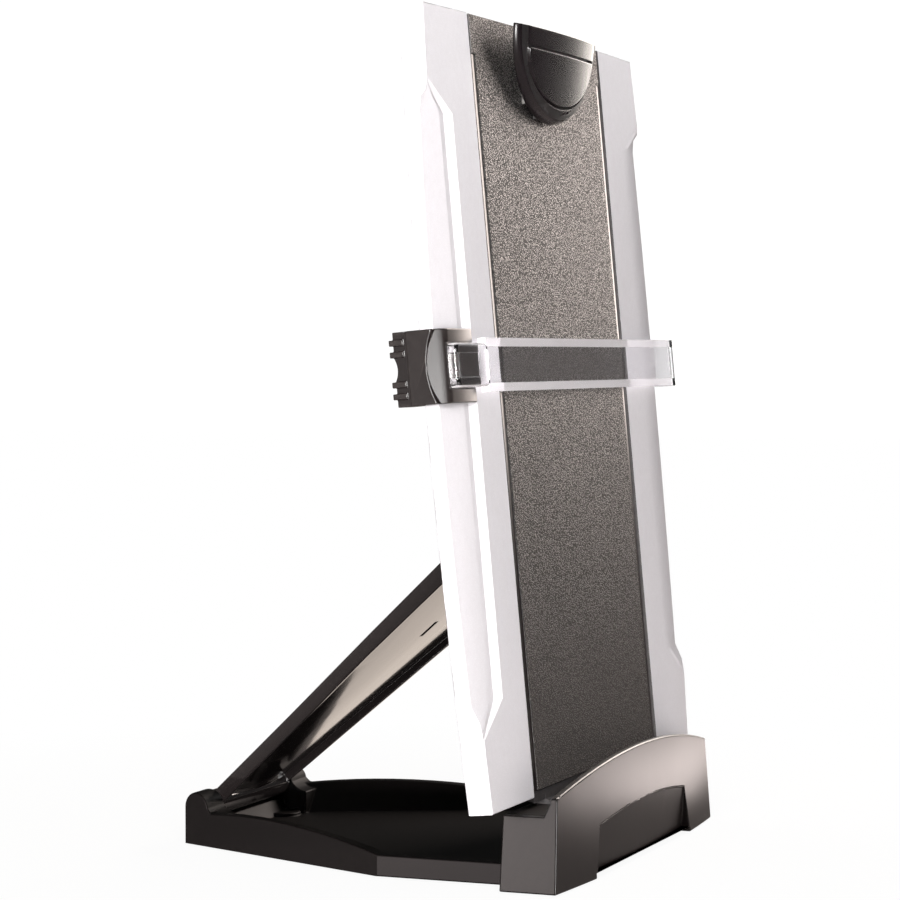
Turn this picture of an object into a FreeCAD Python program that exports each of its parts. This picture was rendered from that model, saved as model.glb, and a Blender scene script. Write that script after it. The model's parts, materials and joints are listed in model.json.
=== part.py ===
import FreeCAD, Part
import math
import os

V = FreeCAD.Vector
X_AXIS, Y_AXIS, Z_AXIS = V(1, 0, 0), V(0, 1, 0), V(0, 0, 1)
SIDES = (("left", -1), ("right", 1))

# All lengths are in millimetres and all angles in degrees.
# The part stands on its rubber feet at Z = 0, with the board's face towards -Y,
# and its origin is the middle of its footprint.

# Whole part
base_length = 190.0          # front of the fascia's bow to the rear end of the base
board_setback = 22.0         # front of the fascia's bow to the foot of the board's face
overrun = 2.0                # how far a cutter runs past the faces that it cuts
seat_gap = 0.3               # clearance between pieces that are seated or slide
pin_gap = 0.05               # radial clearance of a pin in its hole

# Board
board_height = 305.0
board_width = 248.6          # at the top and bottom corners
board_bulge = 7.9            # each long side bows out by this at mid height
board_crown = 1.2            # and the top edge bows up
board_thickness = 9.8
board_lean = 5.3             # backwards from upright, at rest
board_edge_round = 0.6
board_wall = 2.2             # side walls and front skin of the shell
ledge_to_board = 3.9         # the board's foot stands this far above the ledge

# Panel channel down the middle of the board
band_width = 47.7            # silver band and gap each side of the panel, at the board's ends
panel_thickness = 2.5
panel_inset = 0.1            # the panel lies this far below the silver face
panel_edge_round = 0.3
side_gap = 2.2               # open gap down each side of the panel
step_width = 3.3             # smooth step down each side of the pebbled face
step_depth = 0.5
step_from_top = 15.0         # the step ends in a notch below the panel's top
tongue_reach = 4.4           # guiding tongue beyond the panel's edge
tongue_thickness = 0.9
tongue_bottom = 18.0         # the tongue starts this far up the board
tongue_top_cut = 15.0        # and stops this far below its top
memo_thickness = 1.0
channel_floor = 1.5
board_foot_wall = 2.0

# Recessed track down each side of the board
track_width = 20.8           # the recess's straight edge to the board's corner
track_low = 41.6             # lower end of that straight edge, up from the foot
track_from_top = 40.7        # upper end, down from the top
track_tip_low = 27.8         # where the recess runs out at the side edge
track_tip_from_top = 28.6
track_tip_out = 1.9
groove_depth = 2.4
groove_wall = 3.5            # width of the groove's steep wall
groove_width = 6.5           # width of the groove's gentle side
track_depth = 1.5            # the wide facet's depth beside the groove
track_edge_depth = 1.9       # and at the board's side

# Back cover and its screws
back_thickness = 2.0
screw_head_radius = 2.7
screw_head_height = 1.3
screw_radius = 1.3
screw_grip = 3.6             # thread length in the boss
boss_radius = 3.4
boss_from_edge = 20.0        # end bosses stand this far in from top and bottom
boss_from_channel = 12.1

# Hinge between board and base
hinge_forward = 2.0          # hinge axis in front of the board's foot
hinge_drop = 3.8             # hinge axis below the ledge's top
hinge_pin_radius = 2.0
hinge_lug_radius = 4.5
hinge_lug_width = 12.0
hinge_lug_half_span = 60.0
hinge_cheek = 3.0
hinge_slot_gap = 0.5
hinge_cheek_depth = 10.0

# Base: front block and bowed fascia
block_width = 205.0          # across the feet
block_top_width = 195.0
block_rear = 27.8            # front of the bow to the block's rear face
bow = 4.8                    # bow of the fascia in plan, at the foot
top_bow = 3.4
top_setback = 1.2            # the fascia's top corners lean back by this
skirt_gap = 0.8              # the mouldings clear the desk by this
ledge_height = 29.8
fascia_end_height = 36.0
fascia_rise = 10.5           # arch of the fascia's top edge
fascia_wall = 3.0
fascia_edge_round = 0.9
rim_step = 2.2               # slope between the rim and the end walls
inset_depth = 4.3            # arched inset in the fascia, at the foot
inset_half_width = 62.0
inset_top_half_width = 56.0
inset_spring = 21.0          # height of the inset's arch at its ends
inset_crown = 25.0
inset_lift = 2.0             # the inset's lower edge above the feet
post_radius = 3.5
post_height = 9.0
post_back = 9.8              # post axis behind the front of the bow

# Base: tray and rails
tray_half_width = 88.7
tray_corner = 84.0           # front of the bow to the corner where the rails taper in
tray_rear_half = 44.7
rail_height = 9.4
rail_crown = 15.8            # highest point of the tapering rail
rail_rear_height = 12.8
tray_floor = 2.4
rail_foot_width = 12.0
rail_top_width = 3.2
shell_wall = 2.4
rib_thickness = 2.0
rib_spacing = 44.0
foot_radius = 5.5
foot_height = 2.4
foot_from_side = 12.0
foot_front = 21.0
foot_rear_from_end = 12.0
foot_rear_half_span = 27.0

# Strut, its lugs on the base and its hinge
ear_half_inner = 34.0        # half the gap between the two lugs
ear_radius = 6.5
strut_axis_height = 16.2
ear_scoop_run = 7.0          # concave foot of each lug
strut_rod_radius = 2.5
strut_rod_engagement = 8.0   # blind hole in each lug
barrel_radius = 5.5
strut_top = 2.5              # upper face above the hinge axis
strut_skin = 2.0
strut_edge_wall = 2.2
strut_band = 4.0             # height of the upright band along each edge
strut_foot_half = 33.3
strut_bend_half = 55.0
strut_end_half = 67.0
strut_foot_at = 4.0
strut_bend_at = 105.0
strut_end_back = 7.0         # the panel stops this far short of the top rod
strut_foot_depth = 3.2       # edge wall depth at the foot, bend and end
strut_bend_depth = 3.2
strut_end_depth = 4.4
strut_foot_chamfer = 0.3
strut_bend_chamfer = 1.2
strut_end_chamfer = 1.0
strut_dish = 2.2             # the panel's middle sags by this
top_rod_radius = 2.5
top_rod_half = 63.0
top_lug_radius = 4.3
top_lug_width = 9.0
top_lug_places = (22.0, 58.0)
slot_length = 9.0            # small oval slot in the panel
slot_width = 3.2
slot_from_end = 62.0

# Rack on the board's back
rack_half_span = 40.0
rack_width = 11.0
rack_stop_height = 6.5       # stops below the first notch and above the last
rack_end = 11.0              # rack beyond the first and last notch
tooth_shares = (0.2, 0.55)   # where the flat top of each tooth starts and ends
rod_stand_off = 6.0          # top rod's axis behind the board's back
rack_notches = 5
first_notch = 105.3          # height of the first notch up the board
tilt_angle = 20.0            # board tilt from the first to the last notch

# Line guide
guide_centre = 168.3         # height up the board, at rest
guide_height = 20.6
guide_rim = 3.3
guide_front = 4.2            # front of the rims before the board's face
guide_depth = 3.2
guide_web = 1.6
guide_side_gap = 0.7         # slider and hook clear the board's widest point by this
guide_wall = 2.2
slider_height = 28.0
slider_face = 0.8            # the slider's front leg stands proud by this
slider_bevel = 8.0
slider_bevel_depth = 3.8
slider_lap = 1.7             # the front leg ends this far past the recess's straight edge
slider_back_reach = 20.0     # rear leg behind the board
slider_back_leg = 2.4
slider_back_gap = 0.9        # rear leg behind the board's back
keel_width = 2.6
keel_clearance = 0.4
slider_wall = 5.1
scoop_radius = 32.0
scoop_run = 6.4              # the scoop's width on the front and on the side
boss_side_back = 7.0         # the boss starts this far in from the slider's side
boss_lap = 8.2               # and ends this far past the slider's front leg
boss_height = 16.9
boss_round = 3.0
boss_lift = 0.4              # the boss stands this far before the board's face
peg_side_cover = 3.5         # clear plastic at the left end of the peg
peg_end_back = 2.8           # the peg's right end to the end of the front leg
peg_height = 9.2
peg_cover = 1.2              # clear cover over the peg
peg_gap = 0.2
hook_reach = 11.0
grip_depth = 5.6
grip_ridge = 1.4
grip_ridge_height = 2.2
grip_ridge_spread = 5.6      # ridges above and below the thumb hollow
grip_hollow_radius = 9.0
grip_hollow_depth = 1.0
grip_width = 15.0
pad_thickness = 0.6
pad_width = 7.0
pad_height = 18.0

# Clip
clip_half_width = 48.0
clip_height = 37.0
clip_tilt = 10.5             # the clip's top stands out from the board
clip_down = 37.6             # the jaw below the board's top
clip_stand = 1.2             # jaw's rim before the board's face
clip_rim = 2.0
clip_rise = 3.6
clip_face_half = 39.6
clip_face_top = 7.4          # top of the inner face below the clip's top edge
clip_face_bottom = 6.4
clip_face_raise = 0.4
clip_groove = 0.8            # groove round the inner face
clip_groove_depth = 0.4
dome_steps = 5               # sections from the clip's rim to its crown
clip_skin = 2.0
clip_pin_up = 18.5           # pin above the jaw
clip_pin_in = 0.4            # pin axis behind the clip's rim plane
clip_pin_radius = 1.2
clip_pin_half = 21.5
clip_lug_radius = 2.5
clip_lug_width = 2.4
clip_lug_at = 14.5
bracket_half = 24.0
bracket_height = 23.0
bracket_plate = 1.3
bracket_ear = 2.4
bracket_ear_at = 19.5
bracket_ear_half_height = 3.2
spring_wire_radius = 0.4
spring_radius = 2.2          # middle of the wire to the pin's axis
spring_turns = 5.5
spring_start_share = 0.25    # of a turn, from straight up
spring_pitch = 1.4
spring_leg = 7.0
jaw_pad_half = 13.0
jaw_pad_height = 4.0
jaw_pad_up = 1.6


def box(x0, x1, y0, y1, z0, z1):
    return Part.makeBox(x1 - x0, y1 - y0, z1 - z0, V(x0, y0, z0))


def rod_x(x0, x1, y, z, radius):
    return Part.makeCylinder(radius, x1 - x0, V(x0, y, z), X_AXIS)


def rod_y(x, y0, y1, z, radius):
    return Part.makeCylinder(radius, y1 - y0, V(x, y0, z), Y_AXIS)


def rod_z(x, y, z0, z1, radius):
    return Part.makeCylinder(radius, z1 - z0, V(x, y, z0), Z_AXIS)


def polygon(points):
    return Part.makePolygon(list(points) + [points[0]])


def prism_x(points, x0, x1):
    """Solid over the outline points (y, z), from x0 to x1."""
    return Part.Face(polygon([V(x0, y, z) for y, z in points])).extrude(X_AXIS * (x1 - x0))


def mirror_x(shape):
    return shape.mirror(V(0, 0, 0), X_AXIS)


def fuse(shapes):
    shapes = list(shapes)
    return shapes[0].multiFuse(shapes[1:]).removeSplitter() if len(shapes) > 1 else shapes[0]


def turned(shape, angle, y=0, z=0):
    """Turn about a line along X through (y, z)."""
    result = shape.copy()
    result.rotate(V(0, y, z), X_AXIS, angle)
    return result


def moved(shape, x=0, y=0, z=0):
    result = shape.copy()
    result.translate(V(x, y, z))
    return result


def rounded(shape, edges, radius):
    return shape.makeFillet(radius, edges) if edges else shape


# The fascia leans back, so the foremost point of its bow is at the inset's crown.
nose_back = (top_setback + bow - top_bow) * inset_crown / fascia_end_height
front_y = -(base_length + nose_back) / 2
rear_y = front_y + base_length
board_y = front_y + board_setback


# Board frame: x across, y into the board from its face, z up the board from its foot.
board_z = ledge_height + ledge_to_board
board_half = board_width / 2
back_face = board_thickness


def on_board(shape):
    return moved(turned(shape, -board_lean), y=board_y, z=board_z)


def side_half(z, inset=0):
    """Half width of the board at a height, from the arc through its corners."""
    radius = (board_bulge ** 2 + (board_height / 2) ** 2) / (2 * board_bulge)
    sag = radius - math.sqrt(radius ** 2 - (z - board_height / 2) ** 2)
    return board_half + board_bulge - sag - inset


def board_slab(inset, y0, y1):
    """Plate with the board's outline, drawn in by an inset."""
    low, high, mid = inset, board_height - inset, board_height / 2
    right = [V(side_half(z, inset), y0, z) for z in (low, mid, high)]
    left = [V(-p.x, y0, p.z) for p in reversed(right)]
    edges = [
        Part.Arc(*right).toShape(),
        Part.Arc(right[2], V(0, y0, high + board_crown), left[0]).toShape(),
        Part.Arc(*left).toShape(),
        Part.makeLine(left[2], right[0]),
    ]
    return Part.Face(Part.Wire(edges)).extrude(Y_AXIS * (y1 - y0))


panel_width = board_width - 2 * band_width
panel_half = panel_width / 2
channel_half = panel_half + side_gap
tongue_half = panel_half + tongue_reach
panel_back = panel_inset + panel_thickness
memo_front = panel_back + seat_gap
channel_depth = memo_front + memo_thickness
cover_front = board_thickness - back_thickness
boss_half_span = channel_half + boss_from_channel
track_inner = board_half - track_width
track_high = board_height - track_from_top
track_tip_high = board_height - track_tip_from_top
track_tip_half = board_half + track_tip_out
groove_bottom = track_inner + groove_wall
groove_end = groove_bottom + groove_width
inner_skin = groove_depth + board_wall
channel_skin = channel_depth + channel_floor


def track_section(z, inner, depth_share):
    """Cross-section of the right-hand recess, closed far outside the board."""
    outside = board_half + board_bulge + 3 * overrun
    run = (outside - inner) / (outside - track_inner)
    points = [
        (outside, -overrun),
        (inner, -overrun),
        (inner, 0),
        (inner + groove_wall * run, groove_depth * depth_share),
        (inner + (groove_wall + groove_width) * run, track_depth * depth_share),
        (outside, track_edge_depth * depth_share),
    ]
    return polygon([V(x, y, z) for x, y in points])


def track_cutter():
    tip_share = 0.02
    sections = [
        track_section(track_tip_low, track_tip_half, tip_share),
        track_section(track_low, track_inner, 1),
        track_section(track_high, track_inner, 1),
        track_section(track_tip_high, track_tip_half, tip_share),
    ]
    return Part.makeLoft(sections, True, True)


def boss_places():
    heights = (boss_from_edge, board_height / 2, board_height - boss_from_edge)
    return [(side * boss_half_span, z) for _, side in SIDES for z in heights]


def screw(length):
    """Screw along +Y with its head's top at y = 0 and its point at negative y."""
    head = rod_y(0, -screw_head_height, 0, 0, screw_head_radius)
    return head.fuse(rod_y(0, -length, -screw_head_height, 0, screw_radius))


def screw_hole(length):
    head = rod_y(0, -screw_head_height, overrun, 0, screw_head_radius + pin_gap)
    return head.fuse(rod_y(0, -length, -screw_head_height, 0, screw_radius + pin_gap))


# The hinge axis under the board, in the base's frame and in the board's own.
hinge_y = board_y - hinge_forward
hinge_z = ledge_height - hinge_drop
lean = math.radians(board_lean)
hinge_out = -hinge_forward * math.cos(lean) + (board_z - hinge_z) * math.sin(lean)
hinge_up = -hinge_forward * math.sin(lean) - (board_z - hinge_z) * math.cos(lean)


def hinge_lug(x):
    """Lug under the board's foot, round about the hinge axis."""
    x0, x1 = x - hinge_lug_width / 2, x + hinge_lug_width / 2
    eye = rod_x(x0, x1, hinge_out, hinge_up, hinge_lug_radius)
    neck = [
        (hinge_out - hinge_lug_radius, hinge_up),
        (hinge_out, hinge_up - hinge_lug_radius),
        (hinge_out + hinge_lug_radius, hinge_up),
        (board_thickness - board_wall, 0),
        (board_thickness - board_wall, board_foot_wall),
        (0, board_foot_wall),
        (0, 0),
    ]
    lug = eye.fuse(prism_x(neck, x0, x1))
    hole = rod_x(x0 - overrun, x1 + overrun, hinge_out, hinge_up, hinge_pin_radius + pin_gap)
    return lug.cut(hole)


def board_front():
    """Silver front shell: skin, side walls, panel channel, tracks, bosses and hinge lugs."""
    shell = board_slab(0, 0, board_thickness)
    rims = [e for e in shell.Edges if abs(e.BoundBox.YLength) < board_edge_round]
    shell = rounded(shell, rims, board_edge_round)
    shell = shell.cut(board_slab(board_wall, inner_skin, board_thickness + overrun))
    top = board_height + board_crown + overrun
    channel = box(-channel_half, channel_half, -overrun, channel_depth, board_foot_wall, top)
    grooves = box(
        -tongue_half - seat_gap, tongue_half + seat_gap,
        panel_back - tongue_thickness - seat_gap, panel_back + seat_gap,
        board_foot_wall, top)
    floor_from = channel_half + board_wall
    floor = box(
        -floor_from, floor_from, channel_depth, channel_skin,
        board_foot_wall / 2, board_height - seat_gap)
    shell = shell.fuse(floor).cut(channel).cut(grooves)
    for track in (track_cutter(), mirror_x(track_cutter())):
        shell = shell.cut(track)
    bosses = [rod_y(x, groove_depth, cover_front, z, boss_radius) for x, z in boss_places()]
    lugs = [hinge_lug(side * hinge_lug_half_span) for _, side in SIDES]
    shell = fuse([shell] + bosses + lugs)
    for x, z in boss_places():
        shell = shell.cut(moved(screw_hole(back_thickness + screw_grip), x, board_thickness, z))
    return on_board(shell)


def board_back():
    """Black rear cover, let into the shell's side walls."""
    cover = board_slab(board_wall + seat_gap, cover_front, board_thickness)
    for x, z in boss_places():
        cover = cover.cut(moved(screw_hole(back_thickness + overrun), x, board_thickness, z))
    for hole in rack_screw_places():
        cover = cover.cut(rod_y(hole[0], 0, back_face + overrun, hole[1], screw_radius + pin_gap))
    return on_board(cover)


def shell_screws():
    length = back_thickness + screw_grip - pin_gap
    return on_board(Part.Compound(
        [moved(screw(length), x, board_thickness, z) for x, z in boss_places()]))


def centre_panel():
    """Dark panel with a guiding tongue down each side."""
    foot = board_foot_wall + seat_gap
    face = box(-panel_half, panel_half, panel_inset, panel_back, foot, board_height + board_crown)
    face = face.common(board_slab(seat_gap, 0, board_thickness))
    face_half = panel_half - step_width
    for _, side in SIDES:
        step = box(0, step_width + overrun, -overrun, panel_inset + step_depth,
                   0, board_height - step_from_top)
        face = face.cut(moved(step, face_half if side > 0 else -panel_half - overrun))
    upright = [e for e in face.Edges if e.BoundBox.ZLength > panel_width
               and e.BoundBox.YMax < panel_inset + seat_gap]
    face = rounded(face, upright, panel_edge_round)
    tongue = box(
        -tongue_half, tongue_half, panel_back - tongue_thickness, panel_back,
        tongue_bottom, board_height - tongue_top_cut)
    return on_board(face.fuse(tongue))


def memo_board():
    foot = board_foot_wall + seat_gap
    half = channel_half - seat_gap
    return on_board(box(
        -half, half, memo_front, channel_depth, foot, board_height - board_foot_wall))


# Where the strut's hinge, its top rod and the rack's notches lie.
strut_y = rear_y - ear_radius
strut_z = strut_axis_height
rack_line = board_thickness + rod_stand_off - hinge_out


def board_axes(tilt):
    """Directions out of the board's back and up the board, at a tilt from rest."""
    angle = math.radians(board_lean + tilt)
    return V(0, math.cos(angle), -math.sin(angle)), V(0, math.sin(angle), math.cos(angle))


out_at_rest, up_at_rest = board_axes(0)
first_seat = V(0, hinge_y, hinge_z) + out_at_rest * rack_line
first_seat += up_at_rest * (first_notch - hinge_up)
strut_reach = (first_seat - V(0, strut_y, strut_z)).Length


def rod_seat(tilt):
    """Top rod seated on the rack at a tilt: its place, and its distance up the board."""
    out, up = board_axes(tilt)
    foot = V(0, hinge_y, hinge_z) + out * rack_line
    start = foot - V(0, strut_y, strut_z)
    along = start.dot(up)
    reach = math.sqrt(along ** 2 - start.dot(start) + strut_reach ** 2) - along
    return foot + up * reach, reach + hinge_up


def strut_rise(tilt):
    """Elevation of the strut when its top rod is seated at a tilt."""
    place = rod_seat(tilt)[0] - V(0, strut_y, strut_z)
    return math.degrees(math.atan2(place.z, -place.y))


def rod_stand(tilt):
    """How far the top rod's axis stands off the back while the strut swings evenly."""
    ratio = (strut_rise(tilt_angle) - strut_rise(0)) / tilt_angle
    rise = math.radians(strut_rise(0) + ratio * tilt)
    reach = V(0, -math.cos(rise), math.sin(rise)) * strut_reach
    place = V(0, strut_y, strut_z) + reach - V(0, hinge_y, hinge_z)
    return place.dot(board_axes(tilt)[0]) - rack_line + rod_stand_off


notch_step = tilt_angle / (rack_notches - 1)


def notch_places():
    return [rod_seat(notch_step * i)[1] for i in range(rack_notches)]


def rack_ends():
    places = notch_places()
    return places[0] - rack_end, places[-1] + rack_end


def rack_screw_places():
    low, high = rack_ends()
    inward = screw_head_radius + board_wall / 2
    return [(side * rack_half_span, z) for _, side in SIDES
            for z in (low + inward, high - inward)]


def rack_outline():
    """Side view of the rack: a floor, a stop at each end and teeth below the rod's path."""
    low, high = rack_ends()
    places = notch_places()
    floor = rod_stand_off - top_rod_radius - seat_gap
    room = top_rod_radius + seat_gap
    points = [(0, low), (rack_stop_height, low), (rack_stop_height, places[0] - room),
              (floor, places[0] - room)]
    for i in range(rack_notches - 1):
        start, end = places[i] + room, places[i + 1] - room
        top = min(rod_stand(notch_step * (i + share)) for share in tooth_shares)
        top -= top_rod_radius + 2 * seat_gap
        points.append((floor, start))
        points += [(top, start + share * (end - start)) for share in tooth_shares]
        points.append((floor, end))
    points += [(floor, places[-1] + room), (rack_stop_height, places[-1] + room),
               (rack_stop_height, high), (0, high)]
    return [(back_face + out, up) for out, up in points]


def rack(side):
    """Toothed strip on the board's back that the strut's top rod drops into."""
    x0 = side * rack_half_span - rack_width / 2
    strip = prism_x(rack_outline(), x0, x0 + rack_width)
    for x, z in rack_screw_places():
        strip = strip.cut(moved(
            screw_hole(rack_stop_height + overrun), x, back_face + rack_stop_height, z))
    return on_board(strip)


def rack_screws():
    length = rack_stop_height + back_thickness - pin_gap
    return on_board(Part.Compound(
        [moved(screw(length), x, back_face + rack_stop_height, z)
         for x, z in rack_screw_places()]))


# Base


def block_outline(inset, z):
    """Plan outline of the front block at a height: bowed front, straight ends."""
    share = z / fascia_end_height
    half = block_width / 2 + (block_top_width - block_width) / 2 * share - inset
    corner = front_y + bow + top_setback * share + inset
    crown = corner - (bow + (top_bow - bow) * share)
    back = front_y + block_rear
    points = [V(-half, corner, z), V(0, crown, z), V(half, corner, z)]
    back_right, back_left = V(half, back, z), V(-half, back, z)
    return Part.Wire([
        Part.Arc(*points).toShape(),
        Part.makeLine(points[2], back_right),
        Part.makeLine(back_right, back_left),
        Part.makeLine(back_left, points[0]),
    ])


def block_solid(inset, z0, z1):
    return Part.makeLoft([block_outline(inset, z0), block_outline(inset, z1)], True, True)


def arch_prism(half, foot, spring, crown, y0, y1):
    """Solid along Y under an arch: straight foot, sides up to the spring, arc to the crown."""
    low_left, low_right = V(-foot, y0, 0), V(foot, y0, 0)
    left, right = V(-half, y0, spring), V(half, y0, spring)
    wire = Part.Wire([
        Part.makeLine(low_left, low_right),
        Part.makeLine(low_right, right),
        Part.Arc(right, V(0, y0, crown), left).toShape(),
        Part.makeLine(left, low_left),
    ])
    return Part.Face(wire).extrude(Y_AXIS * (y1 - y0))


def inset_region(y_shift, depth):
    """What lies in front of a face that leans from a depth at the foot to none at the crown."""
    near = front_y - overrun
    wires = []
    for z, back in ((0, depth), (inset_crown, 0)):
        share = z / fascia_end_height
        corner = front_y + bow + top_setback * share + back + y_shift
        crown = corner - (bow + (top_bow - bow) * share)
        half = block_width / 2
        points = [V(-half, corner, z), V(0, crown, z), V(half, corner, z)]
        out_right, out_left = V(half, near, z), V(-half, near, z)
        wires.append(Part.Wire([
            Part.Arc(*points).toShape(),
            Part.makeLine(points[2], out_right),
            Part.makeLine(out_right, out_left),
            Part.makeLine(out_left, points[0]),
        ]))
    return Part.makeLoft(wires, True, True)


def fascia_top():
    return fascia_end_height + fascia_rise


def post_places():
    return [side * x for _, side in SIDES
            for x in (inset_half_width + 2 * post_radius, block_top_width / 2 - 3 * post_radius)]


def front_fascia():
    """Bowed front cover with an arched top, end walls and an arched inset."""
    high = fascia_top() + overrun
    outer = block_solid(0, skirt_gap, high)
    inner = block_solid(fascia_wall, 0, high + overrun)
    behind = box(
        -block_width / 2 + fascia_wall, block_width / 2 - fascia_wall,
        front_y + block_rear - fascia_wall - overrun, front_y + block_rear + overrun, 0, high)
    shell = outer.cut(inner).cut(behind.common(block_solid(fascia_wall, 0, high)))
    slot = block_solid(fascia_wall, 0, high)
    shell = shell.cut(moved(slot, y=fascia_wall + overrun))
    arch = arch_prism(
        block_width / 2, block_width / 2, fascia_end_height - seat_gap, fascia_top(),
        front_y - overrun, front_y + block_rear + overrun)
    shell = shell.common(arch)
    rim_back = front_y + bow + top_setback + fascia_wall
    step = [
        (rim_back, fascia_end_height + fascia_rise + overrun),
        (rim_back, fascia_end_height - rim_step / 2),
        (rim_back + rim_step, ledge_height),
        (front_y + block_rear + overrun, ledge_height),
        (front_y + block_rear + overrun, fascia_end_height + fascia_rise + overrun),
    ]
    shell = shell.cut(prism_x(step, -block_width / 2 - overrun, block_width / 2 + overrun))
    shell = shell.removeSplitter()
    lip = [e for e in shell.Edges if e.BoundBox.XLength > block_top_width / 2
           and e.BoundBox.ZMax > fascia_end_height + fascia_rise / 2]
    shell = rounded(shell, lip, fascia_edge_round)
    opening = arch_prism(
        inset_top_half_width, inset_half_width, inset_spring, inset_crown,
        front_y - overrun, front_y + block_rear)
    backing = arch_prism(
        inset_top_half_width + fascia_wall, inset_half_width + fascia_wall,
        inset_spring + fascia_wall / 2, inset_crown + fascia_wall / 2,
        front_y - overrun, front_y + block_rear)
    backing = backing.common(inset_region(fascia_wall, inset_depth)).common(outer)
    shell = shell.fuse(backing).cut(opening.common(inset_region(0, inset_depth)))
    lift = box(
        -inset_half_width, inset_half_width, front_y - overrun, front_y + block_rear,
        0, skirt_gap + inset_lift)
    shell = shell.cut(lift)
    posts = []
    for x in post_places():
        post = rod_z(x, front_y + post_back, skirt_gap + tray_floor, post_height, post_radius)
        web = box(
            x - post_radius / 2, x + post_radius / 2, front_y + bow, front_y + post_back,
            skirt_gap + tray_floor, post_height)
        posts.append(post.fuse(web.common(outer)))
    shell = fuse([shell] + posts)
    for x in post_places():
        shell = shell.cut(rod_z(
            x, front_y + post_back, 0, post_height - fascia_wall / 2, screw_radius + pin_gap))
    return shell


def base_screws():
    """Screws up through the tray into the fascia's posts."""
    screws = []
    for x in post_places():
        head_low = skirt_gap + tray_floor - shell_wall / 2 - screw_head_height / 2
        head = rod_z(x, front_y + post_back, head_low, head_low + screw_head_height,
                     screw_head_radius)
        shank = rod_z(x, front_y + post_back, head_low + screw_head_height,
                      post_height - fascia_wall, screw_radius)
        screws.append(head.fuse(shank))
    return Part.Compound(screws)


def tray_outline(inset, z):
    """Plan outline of the tray behind the block."""
    near = front_y + block_rear + inset
    corner = front_y + tray_corner
    far = rear_y - inset
    half, rear_half = tray_half_width - inset, tray_rear_half - inset
    right = [(half, near), (half, corner), (rear_half, far)]
    left = [(-x, y) for x, y in reversed(right)]
    return polygon([V(x, y, z) for x, y in right + left])


def rail_profile():
    """Side view of the rails: straight behind the block, then one long arch."""
    corner = front_y + tray_corner
    far = rear_y + overrun
    near = front_y + block_rear - overrun
    x0 = -tray_half_width - overrun
    crown = V(x0, (corner + rear_y) / 2 - overrun, rail_crown)
    ends = [
        V(x0, near, skirt_gap), V(x0, near, rail_height), V(x0, corner, rail_height),
        V(x0, far, rail_rear_height), V(x0, far, skirt_gap),
    ]
    wire = Part.Wire([
        Part.makeLine(ends[0], ends[1]),
        Part.makeLine(ends[1], ends[2]),
        Part.Arc(ends[2], crown, ends[3]).toShape(),
        Part.makeLine(ends[3], ends[4]),
        Part.makeLine(ends[4], ends[0]),
    ])
    return Part.Face(wire).extrude(X_AXIS * (2 * (tray_half_width + overrun)))


def ear():
    """Right-hand lug: round top about the strut's hinge and a concave foot."""
    front = strut_y - ear_radius
    toe = front - ear_scoop_run
    toe_z = rail_rear_height
    mid = V(ear_half_inner, front - ear_scoop_run / 3,
            toe_z + (strut_z - toe_z) * 2 / 5 + skirt_gap / 2)
    points = [
        V(ear_half_inner, rear_y, skirt_gap),
        V(ear_half_inner, rear_y, strut_z),
        V(ear_half_inner, strut_y, strut_z + ear_radius),
        V(ear_half_inner, front, strut_z + skirt_gap),
        V(ear_half_inner, toe, toe_z),
        V(ear_half_inner, toe, skirt_gap),
    ]
    wire = Part.Wire([
        Part.makeLine(points[0], points[1]),
        Part.Arc(points[1], V(ear_half_inner, strut_y + ear_radius * math.sin(math.pi / 4),
                              strut_z + ear_radius * math.cos(math.pi / 4)),
                 points[2]).toShape(),
        Part.Arc(points[2], V(ear_half_inner, strut_y - ear_radius * math.sin(math.pi / 4),
                              strut_z + ear_radius * math.cos(math.pi / 4)),
                 points[3]).toShape(),
        Part.Arc(points[3], mid, points[4]).toShape(),
        Part.makeLine(points[4], points[5]),
        Part.makeLine(points[5], points[0]),
    ])
    lug = Part.Face(wire).extrude(X_AXIS * (tray_half_width - ear_half_inner))
    tall = Part.Face(tray_outline(0, skirt_gap)).extrude(Z_AXIS * (strut_z + ear_radius))
    return lug.common(tall)


def tray_shell():
    """Floor and rails behind the block, with a sloping inner side."""
    low = skirt_gap
    high = rail_crown + overrun
    solid = Part.Face(tray_outline(0, low)).extrude(Z_AXIS * (high - low))
    solid = solid.common(rail_profile())
    floor_z = low + tray_floor
    well = Part.makeLoft(
        [tray_outline(rail_foot_width, floor_z), tray_outline(rail_top_width, high)],
        True, True)
    return solid.cut(well)


def block_core():
    """Ledge, rear wall, end walls, ribs and floor inside the fascia."""
    gap = fascia_wall + seat_gap
    solid = block_solid(gap, skirt_gap, ledge_height)
    rear = front_y + block_rear
    floor_z = skirt_gap + tray_floor
    half = block_top_width / 2 - gap - shell_wall
    hollow = box(
        -half, half, front_y - overrun, rear - shell_wall, floor_z,
        ledge_height - shell_wall)
    open_front = box(
        -block_width, block_width, front_y - overrun,
        front_y + bow + top_setback + fascia_wall + inset_depth + seat_gap, 0,
        ledge_height - shell_wall)
    core = solid.cut(hollow).cut(open_front)
    floor_front = front_y + post_back - post_radius
    apron = block_solid(gap, skirt_gap, floor_z).cut(box(
        -block_width, block_width, front_y - overrun, floor_front, 0, ledge_height))
    backing_clear = inset_half_width + fascia_wall + seat_gap
    apron = apron.cut(box(
        -backing_clear, backing_clear, front_y - overrun,
        front_y + bow + fascia_wall + inset_depth + seat_gap, 0, ledge_height))
    ribs = []
    count = int(half // rib_spacing)
    for i in range(-count, count + 1):
        x = i * rib_spacing
        ribs.append(box(
            x - rib_thickness / 2, x + rib_thickness / 2,
            front_y + bow + top_setback + fascia_wall + inset_depth + seat_gap,
            rear - shell_wall, floor_z, ledge_height - shell_wall))
    return fuse([core, apron] + ribs)


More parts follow.
